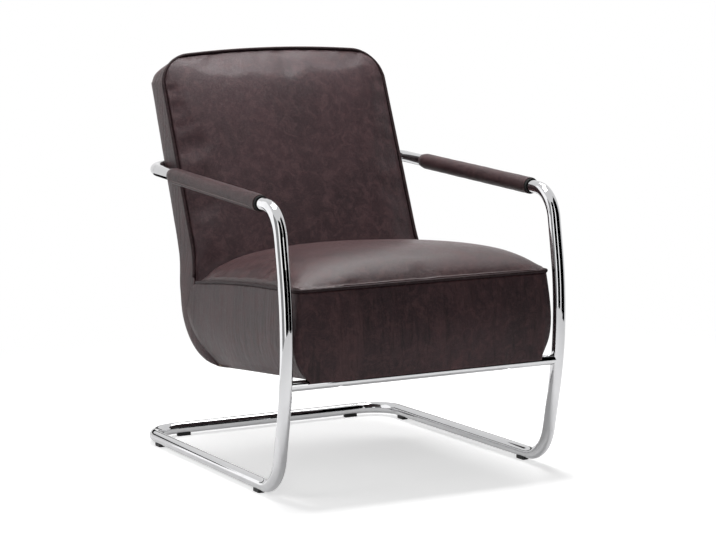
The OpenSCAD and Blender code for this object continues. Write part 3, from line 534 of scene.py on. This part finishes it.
@dataclass(frozen=True)
class Cloth(Finish):
    """Woven webbing or non-woven dust cloth."""

    thread: Colour
    threads: float
    turn: Turn = UNTURNED
    gap_share: float = 0.7
    clouds: float = 10.0
    cloud_share: float = 0.3
    rough: Span = (0.8, 0.95)
    depth: float = 0.0003
    strength: float = 0.8
    shine: float = 0.25

    def lay(self, sheet: NodeSheet, place: Socket, shader: Node) -> None:
        """Lays threads with dark gaps and soft clouds."""
        weave = WEAVE.use(sheet, sheet.turned(place, self.turn), self.threads)
        mottle = MOTTLE.use(sheet, place, self.clouds)
        layers = [(weave["Gaps"], self.gap_share, self.base),
                  (mottle["Clouds"], self.cloud_share, self.thread)]
        self.coat(sheet, shader, self.thread, layers, weave["Height"], self.rough,
                  [(weave["Height"], self.depth, self.strength)])
        sheet.feed(shader, {"Specular IOR Level": self.shine})


AUBERGINE = Leather("aubergine_leather", base=(0.026, 0.0125, 0.0150), cloud=(0.041, 0.0190, 0.0225),
                    rubbed=(0.088, 0.043, 0.046), rough=(0.3, 0.46))
# Painted light: a lighter copy of the main leather, standing in for the light on the upward-facing seat top;
# its folds run across
SEAT_TOP_PAINTED_LIT = Leather("seat_top_leather_painted_lit", base=(0.032, 0.0150, 0.0165), cloud=(0.052, 0.0235, 0.0255),
                   rubbed=(0.105, 0.050, 0.050), fold_turn=(90.0, 0.0, 0.0), rough=(0.3, 0.46), shine=0.22)
BOXING = Leather("boxing_leather", base=(0.028, 0.0135, 0.0160), cloud=(0.042, 0.0195, 0.0230),
                 rubbed=(0.100, 0.046, 0.048), pore_and_crease_shade=(0.008, 0.004, 0.005), folds=19.0, fold_depth=0.0085,
                 lumps=70.0, lump_depth=0.0016, crease_shade_share=0.6, streak_share=0.45)
SLEEVE = Leather("sleeve_leather", base=(0.027, 0.0140, 0.0155), cloud=(0.042, 0.0215, 0.0235),
                 rubbed=(0.110, 0.063, 0.064), clouds=11.0, blotch_share=0.55, fold_turn=(90.0, 0.0, 0.0),
                 folds=60.0, fold_depth=0.001, shine=0.12)
# Painted shade: the piping's colours are darker than the main leather's, standing in for the shadow along the
# seam
PIPING_SHADED = Leather("piping_leather_painted_shade", base=(0.015, 0.0085, 0.0100), cloud=(0.022, 0.0120, 0.0135),
                 rubbed=(0.075, 0.045, 0.047), pore_and_crease_shade=(0.006, 0.004, 0.004), clouds=18.0, folds=120.0,
                 fold_depth=0.0002, lump_depth=0.0002, grain_depth=0.00012, rough=(0.45, 0.6), shine=0.1,
                 wear_share=0.05)
REAR = Leather("rear_leather", base=(0.026, 0.0125, 0.0150), cloud=(0.040, 0.0185, 0.0220),
               rubbed=(0.085, 0.043, 0.046), fold_depth=0.0008)
# Painted highlight: the stitches' light colour stands in for the glint along the sleeve's seam
THREAD_PAINTED_GLINT = Cellular("thread_painted_glint", base=(0.420, 0.340, 0.320), deep=(0.160, 0.125, 0.120), cells=3000.0,
                  depth=0.00008, rough=0.7)
CHROME = Metal("polished_chrome", base=(0.57, 0.57, 0.58), rough=(0.03, 0.06))
ZINC = Metal("zinc_plated_steel", base=(0.55, 0.56, 0.58), rough=(0.3, 0.45), line_depth=0.00004)
WIRE = Metal("oiled_spring_wire", base=(0.30, 0.31, 0.33), rough=(0.35, 0.55), line_depth=0.00004)
GLIDE = Cellular("glide_plastic_black", base=(0.012, 0.012, 0.012), deep=(0.006, 0.006, 0.006), cells=2400.0,
                 depth=0.00006, rough=0.6)
BLACK_FOAM = Cellular("foam_rubber_black", base=(0.014, 0.014, 0.014), deep=(0.004, 0.004, 0.004),
                      cells=1400.0, depth=0.0003)
CUSHION_FOAM = Cellular("cushion_foam_cream", base=(0.82, 0.79, 0.68), deep=(0.6, 0.56, 0.44), cells=700.0,
                        depth=0.0005)
FELT = Cellular("needled_felt_grey", base=(0.55, 0.55, 0.53), deep=(0.3, 0.3, 0.29), cells=1600.0,
                depth=0.0004)
BEECH = Timber("raw_beech", base=(0.68, 0.50, 0.32), late=(0.52, 0.34, 0.19), rings=26.0)
PLYWOOD = Timber("raw_plywood", base=(0.66, 0.49, 0.30), late=(0.48, 0.33, 0.18), rings=34.0,
                 turn=(0.0, 0.0, 90.0))
WEBBING = Cloth("elastic_webbing_black", base=(0.02, 0.02, 0.02), thread=(0.08, 0.08, 0.08), threads=230.0)
DUST_CLOTH = Cloth("dust_cloth_black", base=(0.008, 0.008, 0.008), thread=(0.022, 0.022, 0.022),
                   threads=420.0, turn=(90.0, 0.0, 0.0))

SLOT_FINISHES: dict[str, Finish] = {
    "chrome_tube": CHROME, "zinc_steel": ZINC, "spring_steel": WIRE, "glide_plastic": GLIDE,
    "black_foam": BLACK_FOAM, "cushion_foam": CUSHION_FOAM, "leather_main": AUBERGINE,
    "leather_side": BOXING, "leather_piping": PIPING_SHADED, "plywood": PLYWOOD, "beech": BEECH,
    "felt": FELT, "webbing": WEBBING, "dust_cloth": DUST_CLOTH}


class Side(Enum):
    """The two sides of the chair, as the sign of X."""

    LEFT = -1
    RIGHT = 1


MERGE_DISTANCE = 0.02 * MM
CUT_TOLERANCE = 0.005 * MM
QUAD_BEND = math.radians(50.0)
QUAD_SKEW = math.radians(120.0)
SHARP_ANGLE = math.radians(35.0)


def link(name: str, bm: Mesh) -> Piece:
    """Makes a smooth-shaded object of a bmesh, and frees the bmesh.

    Args:
        name: The new object's name.
        bm: The finished mesh.

    Returns:
        The object, linked to the scene at the origin.
    """
    mesh = bpy.data.meshes.new(name)
    bm.to_mesh(mesh)
    bm.free()
    for old in ("custom_normal", "sharp_face", "sharp_edge"):
        if old in mesh.attributes:
            mesh.attributes.remove(mesh.attributes[old])
    mesh.materials.clear()
    mesh.shade_smooth()
    piece = bpy.data.objects.new(name, mesh)
    bpy.context.scene.collection.objects.link(piece)
    return piece


def node_copy(node: str) -> Mesh:
    """Copies a CAD node's mesh with its corners merged and its triangles joined to quads."""
    bm = bmesh.new()
    bm.from_mesh(NODES[node].data)
    bmesh.ops.remove_doubles(bm, verts=bm.verts, dist=MERGE_DISTANCE)
    bmesh.ops.join_triangles(bm, faces=bm.faces, angle_face_threshold=QUAD_BEND,
                             angle_shape_threshold=QUAD_SKEW)
    bmesh.ops.recalc_face_normals(bm, faces=bm.faces)
    return bm


def grow(bm: Mesh, distance: float) -> None:
    """Moves every point outwards along its normal."""
    bm.normal_update()
    for vert, normal in [(v, v.normal.copy()) for v in bm.verts]:
        vert.co += normal * distance


def bounded(value: float) -> float:
    """Keeps a share between 0 and 1."""
    return min(1.0, max(0.0, value))


def crease_rims(bm: Mesh, angle: float, crease: float) -> None:
    """Creases the edges that turn by more than an angle, so that a subdivision keeps them.

    Args:
        bm: The mesh.
        angle: The least turn between the two faces, in degrees.
        crease: From 0, soft, to 1, sharp.
    """
    layer = bm.edges.layers.float.get("crease_edge") or bm.edges.layers.float.new("crease_edge")
    for edge in bm.edges:
        if len(edge.link_faces) == 2 and edge.calc_face_angle(0.0) > math.radians(angle):
            edge[layer] = crease


def subdivide(piece: Piece, levels: int) -> None:
    """Adds a subdivision surface with the same levels in the view and the render."""
    smooth = piece.modifiers.new("subdivision", "SUBSURF")
    smooth.levels = levels
    smooth.render_levels = levels


def subdivide_through(piece: Piece, levels: int, rounds: int = 5) -> None:
    """Adds a subdivision surface that passes through the piece's own points instead of inside them.

    Args:
        piece: The piece.
        levels: Subdivision levels.
        rounds: How often the control points are corrected.
    """
    goals = [v.co.copy() for v in piece.data.vertices]
    subdivide(piece, levels)
    for _ in range(rounds):
        bpy.context.view_layer.update()
        smooth = piece.evaluated_get(bpy.context.evaluated_depsgraph_get()).data
        for vert, goal, drawn in zip(piece.data.vertices, goals, smooth.vertices):
            vert.co += goal - drawn.co
        piece.data.update()


def apply_modifiers(piece: Piece) -> None:
    """Makes what the modifiers give the piece's own mesh, and removes them."""
    graph = bpy.context.evaluated_depsgraph_get()
    mesh = bpy.data.meshes.new_from_object(piece.evaluated_get(graph))
    old = piece.data
    piece.modifiers.clear()
    piece.data = mesh
    bpy.data.meshes.remove(old)


def dress(piece: Piece, finish: Finish, slot: str, *nodes: str) -> None:
    """Gives a piece its finish and its place in the part.

    Args:
        piece: The piece, in place.
        finish: What it is made of.
        slot: The record's material slot; not used.
        nodes: CAD nodes that it stands for.
    """
    piece.data.materials.clear()
    piece.data.materials.append(finish.material())
    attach(piece, "root")
    if nodes:
        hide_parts(*nodes)
    LOG.info("%s: %d faces, %s", piece.name, len(piece.data.polygons), finish.name)


@dataclass
class Stuffing:
    """How a cushion's cover is filled by a short cloth simulation."""

    pressure: float = 4.0
    frames: int = 20
    cap: float = 3.0 * MM
    slack: float = 0.004
    bending: float = 18.0
    stretch: float = 15.0
    quality: int = 5
    free_above: float = 0.25

    def fill(self, piece: Piece, up: Vector) -> None:
        """Blows the cover up against its held sides and underside, and keeps the folds that come.

        Args:
            piece: The closed cover.
            up: Direction that its crown faces.
        """
        mesh = piece.data
        before = [v.co.copy() for v in mesh.vertices]
        sides = [v.index for v in mesh.vertices if v.normal.dot(up) < self.free_above]
        piece.vertex_groups.new(name="held").add(sides, 1.0, "REPLACE")
        cloth = piece.modifiers.new("stuffing", "CLOTH")
        settings = cloth.settings
        settings.vertex_group_mass = "held"
        settings.use_pressure = True
        settings.uniform_pressure_force = self.pressure
        settings.shrink_min = settings.shrink_max = -self.slack
        settings.bending_stiffness = self.bending
        settings.tension_stiffness = settings.compression_stiffness = self.stretch
        settings.effector_weights.gravity = 0.0
        settings.quality = self.quality
        cloth.collision_settings.use_collision = False
        cloth.point_cache.frame_start = 1
        cloth.point_cache.frame_end = self.frames
        scene = bpy.context.scene
        for step in range(1, self.frames + 1):
            scene.frame_set(step)
        swollen = piece.evaluated_get(bpy.context.evaluated_depsgraph_get())
        after = [v.co.copy() for v in swollen.to_mesh().vertices]
        swollen.to_mesh_clear()
        piece.modifiers.clear()
        piece.vertex_groups.clear()
        scene.frame_set(1)
        for vert, old, new in zip(mesh.vertices, before, after):
            move = new - old
            vert.co = old + move * (self.cap / max(move.length, self.cap))


@dataclass(frozen=True)
class FrontSwell:
    """How full the seat's boxing stands between its seam and its lower edge."""

    front: float = 7.0 * MM
    side: float = 5.12 * MM
    depth: float = 60.0 * MM
    height: float = 195.0 * MM

    def move(self, bm: Mesh) -> None:
        """Moves the boxing's points outwards, most at the middle of its height.

        Args:
            bm: The boxing's mesh.
        """
        half = max(v.co.x for v in bm.verts)
        front = min(v.co.y for v in bm.verts)
        base = min(v.co.z for v in bm.verts)
        for vert in bm.verts:
            share = bounded((vert.co.z - base) / self.height)
            rise = math.sin(math.pi * share)
            ahead = max(0.0, 1 - (vert.co.y - front) / self.depth)
            across = max(0.0, 1 - (vert.co.x / half) ** 2)
            vert.co.y -= self.front * math.sqrt(ahead) * across * rise
            vert.co.x += self.side * (vert.co.x / half) ** 5 * rise * (1 - share)


@dataclass(frozen=True)
class HeelSwell:
    """How far the leather stands out at the top of the heel."""

    centre: Vector = Vector((0.0, 0.0597, 0.3609))
    radius: float = 160.0 * MM
    fade: float = 50.0 * MM
    low: float = 200.0 * MM
    height: float = 270.0 * MM
    out: float = 5.5 * MM

    def move(self, bm: Mesh) -> None:
        """Moves the points near the outline to the rear.

        Args:
            bm: The mesh of a piece that runs round the heel.
        """
        for vert in bm.verts:
            share = bounded((vert.co.z - self.low) / self.height)
            far = math.hypot(vert.co.y - self.centre.y, vert.co.z - self.centre.z)
            edge = bounded(1 - (self.radius - far) / self.fade)
            vert.co.y += self.out * math.sin(math.pi * share) ** 2 * edge * edge * (3 - 2 * edge)


@dataclass
class Cushion:
    """A crowned cushion with its boxing and piping."""

    name: str
    foam: str
    cover: str
    band: str
    piping: str
    finish: Finish
    top_axis: Vector
    swell: FrontSwell | HeelSwell
    skin: float = 1.8 * MM
    detail: int = 2
    fill: float = 0.8
    rim_angle: float = 50.0
    body_crease: float = 0.6
    welt_angle: float = 80.0
    welt_crease: float = 0.5

    def build_body(self) -> None:
        """Builds the crowned form and fills it."""
        bm = node_copy(self.foam)
        crease_rims(bm, self.rim_angle, self.body_crease)
        grow(bm, self.skin)
        body = link(f"{self.name}_cushion", bm)
        subdivide_through(body, self.detail)
        apply_modifiers(body)
        Stuffing().fill(body, self.top_axis)
        body.data.shade_smooth()
        subdivide(body, 1)
        dress(body, self.finish, "leather_main", self.foam, self.cover)

    def build_boxing(self) -> None:
        """Builds the band of leather round the cushion's sides."""
        bm = node_copy(self.band)
        self.swell.move(bm)
        crease_rims(bm, self.rim_angle, 1.0)
        boxing = link(f"{self.name}_boxing", bm)
        subdivide_through(boxing, self.detail)
        dress(boxing, BOXING, "leather_side", self.band)

    def build_piping(self) -> None:
        """Builds the covered cord along the seam, in leather darkened by painted seam shade."""
        bm = node_copy(self.piping)
        crease_rims(bm, self.welt_angle, self.welt_crease)
        cord = link(f"{self.name}_welt", bm)
        subdivide_through(cord, self.detail)
        dress(cord, PIPING_SHADED, "leather_piping", self.piping)

    def build(self) -> None:
        """Builds the body, the boxing and the piping."""
        self.build_body()
        self.build_boxing()
        self.build_piping()


def cut_rings(bm: Mesh, axis: Vector, low: float, high: float, step: float) -> None:
    """Cuts a mesh by evenly spaced planes, so that it can bend and take folds.

    Args:
        bm: The mesh.
        axis: Direction of the planes' normals.
        low: Distance along the axis over which the first plane lies.
        high: Distance under which the last plane lies.
        step: Distance between planes.
    """
    count = max(1, round((high - low) / step))
    for i in range(count):
        place = axis * (low + (i + 0.5) * (high - low) / count)
        bmesh.ops.bisect_plane(bm, geom=[*bm.verts, *bm.edges, *bm.faces], dist=CUT_TOLERANCE,
                               plane_co=place, plane_no=axis)


@dataclass
class ArmSleeve:
    """A stitched leather sleeve over foam rubber on one arm."""

    side: Side
    arm_angle: float = math.radians(3.642)
    half_length: float = 231.0 * MM
    seam_turn: float = math.radians(-36.0)
    seam_width: float = 2.4 * MM
    seam_height: float = 0.9 * MM
    fold_height: float = 0.45 * MM
    folds_around: float = 2.0
    folds_along: float = 34.0
    fold_fade: float = 50.0 * MM
    ring_step: float = 6.0 * MM
    rim_angle: float = 60.0
    sleeve_crease: float = 0.8
    foam_crease: float = 0.4
    stitch_step: float = 5.2 * MM
    stitch_size: tuple[float, float, float] = (0.6 * MM, 1.9 * MM, 0.5 * MM)
    stitch_offset: float = 3.4 * MM
    stitch_lift: float = 0.1 * MM
    stitch_margin: float = 22.0 * MM

    @property
    def word(self) -> str:
        """The side's name as it stands in node names."""
        return self.side.name.lower()

    def __post_init__(self) -> None:
        """Takes the arm's direction from its angle, and the sleeve's middle and radius from its node."""
        low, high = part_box(f"arm_pad_cover_{self.word}")
        self.axis = Vector((0.0, math.cos(self.arm_angle), math.sin(self.arm_angle)))
        self.middle = (low + high) / 2
        self.radius = (high.x - low.x) / 2
        self.up = X_AXIS.cross(self.axis)

    def ringed(self, node: str, step: float) -> Mesh:
        """Copies a CAD node and cuts it into rings.

        Args:
            node: The node's name, without its side.
            step: Distance between the cuts.

        Returns:
            The ringed mesh.
        """
        bm = node_copy(f"{node}_{self.word}")
        centre = self.axis.dot(self.middle)
        cut_rings(bm, self.axis, centre - self.half_length, centre + self.half_length, step)
        return bm

    def build_sleeve(self) -> None:
        """Builds the leather with its seam ridge and small folds."""
        bm = self.ringed("arm_pad_cover", self.ring_step)
        for vert in bm.verts:
            offset = vert.co - self.middle
            along = offset.dot(self.axis)
            spoke = offset - self.axis * along
            turn = math.atan2(spoke.dot(self.up), spoke.x * self.side.value)
            near = (turn - self.seam_turn) * spoke.length / self.seam_width
            ridge = self.seam_height * math.exp(-near * near)
            spoke.normalize()
            sample = Vector((spoke.x * self.folds_around, along * self.folds_along,
                             spoke.z * self.folds_around + self.side.value))
            inside = min(1.0, (self.half_length - abs(along)) / self.fold_fade)
            vert.co += spoke * (ridge + self.fold_height * noise.noise(sample) * inside)
        crease_rims(bm, self.rim_angle, self.sleeve_crease)
        sleeve = link(f"arm_sleeve_{self.word}", bm)
        subdivide(sleeve, 1)
        dress(sleeve, SLEEVE, "leather_main", f"arm_pad_cover_{self.word}")

    def build_foam(self) -> None:
        """Builds the foam rubber that looks out of the sleeve's front end."""
        bm = self.ringed("arm_pad_foam", 2 * self.ring_step)
        crease_rims(bm, self.rim_angle, self.foam_crease)
        foam = link(f"arm_foam_{self.word}", bm)
        subdivide_through(foam, 1)
        dress(foam, BLACK_FOAM, "black_foam", f"arm_pad_foam_{self.word}")

    def build_stitches(self) -> None:
        """Sews a row of stitches beside the seam ridge, their light colour a painted glint along the seam."""
        radius = self.radius + self.stitch_lift
        turn = self.seam_turn + self.stitch_offset / radius
        spoke = X_AXIS * self.side.value * math.cos(turn) + self.up * math.sin(turn)
        across = self.axis.cross(spoke)
        turned = Matrix((across, self.axis, spoke)).transposed().to_4x4()
        bm = bmesh.new()
        reach = self.half_length - self.stitch_margin
        for i in range(int(2 * reach / self.stitch_step)):
            place = self.middle + self.axis * (i * self.stitch_step - reach) + spoke * radius
            made = bmesh.ops.create_uvsphere(bm, u_segments=6, v_segments=4, radius=1.0)
            bmesh.ops.scale(bm, vec=self.stitch_size, verts=made["verts"])
            bmesh.ops.transform(bm, matrix=Matrix.Translation(place) @ turned, verts=made["verts"])
        dress(link(f"arm_stitches_{self.word}", bm), THREAD_PAINTED_GLINT, "leather_piping")

    def build(self) -> None:
        """Builds the foam, the sleeve and its stitches."""
        self.build_foam()
        self.build_sleeve()
        self.build_stitches()


@dataclass
class HiddenPads:
    """Foam pads between the timber and the leather of the seat's front and sides."""

    inset: float = 1.5 * MM
    round_edge: float = 2.5 * MM
    nodes: tuple[str, ...] = ("front_pad", "side_pad_left", "side_pad_right")

    def build(self) -> None:
        """Builds each pad with soft edges, a little smaller than its solid."""
        for node in self.nodes:
            bm = node_copy(node)
            bmesh.ops.bevel(bm, geom=bm.edges[:], offset=self.round_edge, offset_type="OFFSET", segments=2,
                            profile=0.5, affect="EDGES", material=-1)
            grow(bm, -self.inset)
            pad = link(f"{node}_foam", bm)
            subdivide(pad, 1)
            dress(pad, CUSHION_FOAM, "cushion_foam", node)


@dataclass
class RearPanel:
    """One skin of leather from the back's top edge round the heel and under the seat."""

    lean: float = math.radians(20.3)
    step: float = 18.0 * MM
    rim_angle: float = 60.0
    fold: float = 0.5 * MM
    folds: float = 9.0

    def build(self) -> None:
        """Cuts the skin into small faces and gives it shallow unevenness."""
        bm = node_copy("rear_cover")
        low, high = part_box("rear_cover")
        up = Vector((0.0, math.sin(self.lean), math.cos(self.lean)))
        for axis in (X_AXIS, up, Y_AXIS):
            cut_rings(bm, axis, axis.dot(low), axis.dot(high), self.step)
        crease_rims(bm, self.rim_angle, 1.0)
        out = Vector((0.0, math.cos(self.lean), -math.sin(self.lean)))
        for vert in bm.verts:
            vert.co += out * self.fold * noise.noise(vert.co * self.folds)
        HeelSwell().move(bm)
        panel = link("rear_panel", bm)
        panel.data.set_sharp_from_angle(angle=SHARP_ANGLE)
        dress(panel, REAR, "leather_main", "rear_cover")


@dataclass
class DustCloth:
    """Thin cloth stretched under the seat."""

    flat: tuple[float, float] = (0.493, 0.404)
    step: float = 20.0 * MM
    sag: float = 2.0 * MM

    def build(self) -> None:
        """Cuts the cloth into small faces and lets its middle hang a little."""
        bm = node_copy("dust_cover")
        low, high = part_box("dust_cover")
        for axis in (X_AXIS, Y_AXIS):
            cut_rings(bm, axis, axis.dot(low), axis.dot(high), self.step)
        middle, reach = (low + high) / 2, (high - low) / 2
        for vert in bm.verts:
            across = (vert.co.x - middle.x) / reach.x
            along = (vert.co.y - middle.y) / reach.y
            vert.co.z -= self.sag * max(0.0, 1 - across ** 2) * max(0.0, 1 - along ** 2)
        cloth = link("dust_cloth", bm)
        cloth.data.set_sharp_from_angle(angle=SHARP_ANGLE)
        dress(cloth, DUST_CLOTH, "dust_cloth", "dust_cover")


@dataclass
class BareNodes:
    """The CAD nodes whose shapes stay: tubes, timber, springs and fixings."""

    def dress(self) -> None:
        """Gives each node the finish of its material slot."""
        for part in frame["record"]["subparts"]:
            node = NODES[part["node"]]
            finish = SLOT_FINISHES[part["material_slot"]]
            for place in node.material_slots:
                place.material = finish.material()
            if not node.material_slots:
                node.data.materials.append(finish.material())
            LOG.info("%s: %s", node.name, finish.name)


@dataclass(frozen=True)
class Lamp:
    """A soft rectangular lamp."""

    name: str
    place: Vector
    aim: Vector
    size: tuple[float, float]
    watts: float

    def build(self) -> None:
        """Hangs the lamp and turns it to its aim."""
        data = bpy.data.lights.new(self.name, "AREA")
        data.shape = "RECTANGLE"
        data.size, data.size_y = self.size
        data.energy = self.watts
        lamp = bpy.data.objects.new(self.name, data)
        lamp.location = self.place
        lamp.rotation_euler = (self.aim - self.place).to_track_quat("-Z", "Y").to_euler()
        bpy.context.scene.collection.objects.link(lamp)


@dataclass(frozen=True)
class Panel:
    """An upright panel beside the chair that only reflections see."""

    name: str
    # Where it starts and ends, in degrees to the right of the camera as seen from the chair's hub
    turns: Span
    heights: Span
    glow: float

    def build(self, foot: Callable[[float], Vector]) -> None:
        """Stands the panel up.

        Args:
            foot: Gives the place on the floor at a turn.
        """
        left, right = (foot(turn) for turn in self.turns)
        low, high = (Z_AXIS * height for height in self.heights)
        bm = bmesh.new()
        corners = (left + low, right + low, right + high, left + high)
        bm.faces.new([bm.verts.new(corner) for corner in corners])
        board = link(self.name, bm)
        material, sheet = new_material(self.name)
        light = sheet.add("ShaderNodeEmission", {"Color": WHITE, "Strength": self.glow})
        sheet.add("ShaderNodeOutputMaterial", {"Surface": light.outputs[0]})
        board.data.materials.append(material)
        for kind in ("camera", "diffuse", "shadow", "transmission", "volume_scatter"):
            setattr(board, f"visible_{kind}", False)


SEAT_MIDDLE = Vector((0.0, 0.0, 0.45))
LAMPS = (
    Lamp("top_lamp", Vector((0.0, 0.1, 2.35)), SEAT_MIDDLE, (1.1, 0.6), 48.0),
    Lamp("rear_lamp", Vector((0.8, 0.75, 2.3)), Vector((-0.1, -0.35, 0.45)), (0.8, 0.5), 17.0),
    Lamp("side_lamp", Vector((-3.0, -0.2, 1.5)), SEAT_MIDDLE, (1.8, 1.8), 24.0),
    Lamp("front_lamp", Vector((-1.3, -3.2, 2.1)), SEAT_MIDDLE, (0.9, 0.9), 14.0))
PANELS = (
    Panel("black_panel_front", turns=(-16.0, 29.0), heights=(0.0, 2.6), glow=0.0),
    Panel("black_panel_right", turns=(43.0, 104.0), heights=(0.0, 2.6), glow=0.0),
    Panel("black_strip_rear_left", turns=(-155.0, -120.0), heights=(0.22, 0.34), glow=0.0),
    Panel("black_strip_rear_right", turns=(-190.0, -155.0), heights=(0.22, 0.34), glow=0.0),
    Panel("grey_panel_left", turns=(-74.0, -35.0), heights=(0.0, 1.9), glow=0.35),
    Panel("white_panel_near", turns=(-35.0, -16.0), heights=(0.0, 1.9), glow=1.6),
    Panel("white_panel_right", turns=(29.0, 43.0), heights=(0.0, 1.9), glow=1.6),
    Panel("white_panel_left", turns=(-130.0, -74.0), heights=(0.0, 1.9), glow=1.6))


@dataclass
class Studio:
    """Floor, lamps, panels, world and camera."""

    # The camera's place and axes, as fitted to the tube frame in the photograph
    eye: Vector = Vector((-1.87469, -4.07077, 0.88616))
    right: Vector = Vector((0.90275398, -0.42923976, -0.02807987))
    up: Vector = Vector((0.07302190, 0.08859060, 0.99338789))
    back: Vector = Vector((-0.42391397, -0.89883532, 0.11131942))
    focal_px: float = 2197.2
    picture_px: int = 716
    sensor_mm: float = 36.0
    # The panels stand round the hub, in front of the seat, at this reach
    hub: Vector = Vector((0.0, -0.38, 0.0))
    reach: float = 1.7
    world_light: float = 0.18
    floor_size: float = 12.0
    floor_colour: Colour = (0.8, 0.8, 0.8)
    floor_fade: Span = (0.7, 1.9)
    floor_glow: float = 0.55
    floor_glow_mirrored: float = 0.32

    def build_camera(self) -> None:
        """Puts the camera where the photograph was taken."""
        data = bpy.data.cameras.new("photo_camera")
        data.sensor_fit = "HORIZONTAL"
        data.sensor_width = self.sensor_mm
        data.lens = self.focal_px * self.sensor_mm / self.picture_px
        camera = bpy.data.objects.new("photo_camera", data)
        camera.matrix_world = Matrix((self.right, self.up, self.back)).transposed().to_4x4()
        camera.location = self.eye
        bpy.context.scene.collection.objects.link(camera)
        bpy.context.scene.camera = camera

    def seen(self, sheet: NodeSheet) -> tuple[Socket, Socket]:
        """Tells which rays show a surface instead of lighting by it.

        Args:
            sheet: The node sheet of the world or the floor.

        Returns:
            1 for the camera's rays, and 1 for those and for reflections and clear materials.
        """
        rays = sheet.add("ShaderNodeLightPath").outputs
        mirrored = sheet.math("MAXIMUM", rays["Is Glossy Ray"], rays["Is Transmission Ray"])
        return rays["Is Camera Ray"], sheet.math("MAXIMUM", rays["Is Camera Ray"], mirrored)

    def build_world(self) -> None:
        """Makes the world white to the camera and in reflections, and softer as a light."""
        world = bpy.data.worlds.new("studio")
        world.use_nodes = True
        bpy.context.scene.world = world
        sheet = NodeSheet(world.node_tree)
        shown = self.seen(sheet)[1]
        strength = sheet.math("MULTIPLY_ADD", shown, 1.0 - self.world_light, self.world_light)
        light = sheet.add("ShaderNodeBackground", {"Color": WHITE, "Strength": strength})
        sheet.add("ShaderNodeOutputWorld", {"Surface": light.outputs[0]})

    def build_floor(self) -> None:
        """Lays a white floor that keeps the chair's shadow and fades into the white world."""
        bm = bmesh.new()
        bmesh.ops.create_grid(bm, x_segments=8, y_segments=8, size=self.floor_size)
        floor = link("floor", bm)
        material, sheet = new_material("white_floor")
        camera, shown = self.seen(sheet)
        lift = sheet.math("MAXIMUM", sheet.times(shown, self.floor_glow_mirrored),
                          sheet.times(camera, self.floor_glow))
        diffuse = sheet.add("ShaderNodeBsdfDiffuse", {"Color": rgba(self.floor_colour)})
        glow = sheet.add("ShaderNodeEmission", {"Color": WHITE, "Strength": lift})
        near = sheet.add("ShaderNodeAddShader", {0: diffuse.outputs[0], 1: glow.outputs[0]})
        place = sheet.add("ShaderNodeTexCoord").outputs["Object"]
        distance = sheet.add("ShaderNodeVectorMath", {0: place}, operation="LENGTH").outputs["Value"]
        far = sheet.add("ShaderNodeEmission", {"Color": WHITE, "Strength": 1.0})
        faded = sheet.times(sheet.spread(distance, *self.floor_fade), shown)
        surface = sheet.add("ShaderNodeMixShader", {0: faded, 1: near.outputs[0], 2: far.outputs[0]})
        sheet.add("ShaderNodeOutputMaterial", {"Surface": surface.outputs[0]})
        floor.data.materials.append(material)

    def foot(self, turn: float) -> Vector:
        """Gives the place on the floor at a turn from the camera.

        Args:
            turn: Degrees to the camera's right.

        Returns:
            The point, at the panels' reach from the hub.
        """
        ahead = Vector((self.back.x, self.back.y, 0.0)).normalized()
        aside = Vector((self.right.x, self.right.y, 0.0)).normalized()
        angle = math.radians(turn)
        return self.hub + self.reach * (ahead * math.cos(angle) + aside * math.sin(angle))

    def build(self) -> None:
        """Builds the whole set."""
        self.build_camera()
        self.build_world()
        self.build_floor()
        for panel in PANELS:
            panel.build(self.foot)
        for lamp in LAMPS:
            lamp.build()
        bpy.context.scene.view_settings.view_transform = "Standard"


def main() -> None:
    """Builds the chair's looks in order."""
    logging.basicConfig(level=logging.INFO, format="%(name)s: %(message)s")
    Studio().build()
    BareNodes().dress()
    Cushion("seat", "seat_foam", "seat_top_cover", "seat_band_cover", "seat_piping", SEAT_TOP_PAINTED_LIT,
            Z_AXIS, FrontSwell()).build()
    Cushion("back", "back_foam", "back_front_cover", "back_band_cover", "back_piping", AUBERGINE,
            Vector((0.0, -0.926, 0.378)), HeelSwell()).build()
    for side in Side:
        ArmSleeve(side).build()
    HiddenPads().build()
    RearPanel().build()
    DustCloth().build()


if __name__ == "__main__":
    main()
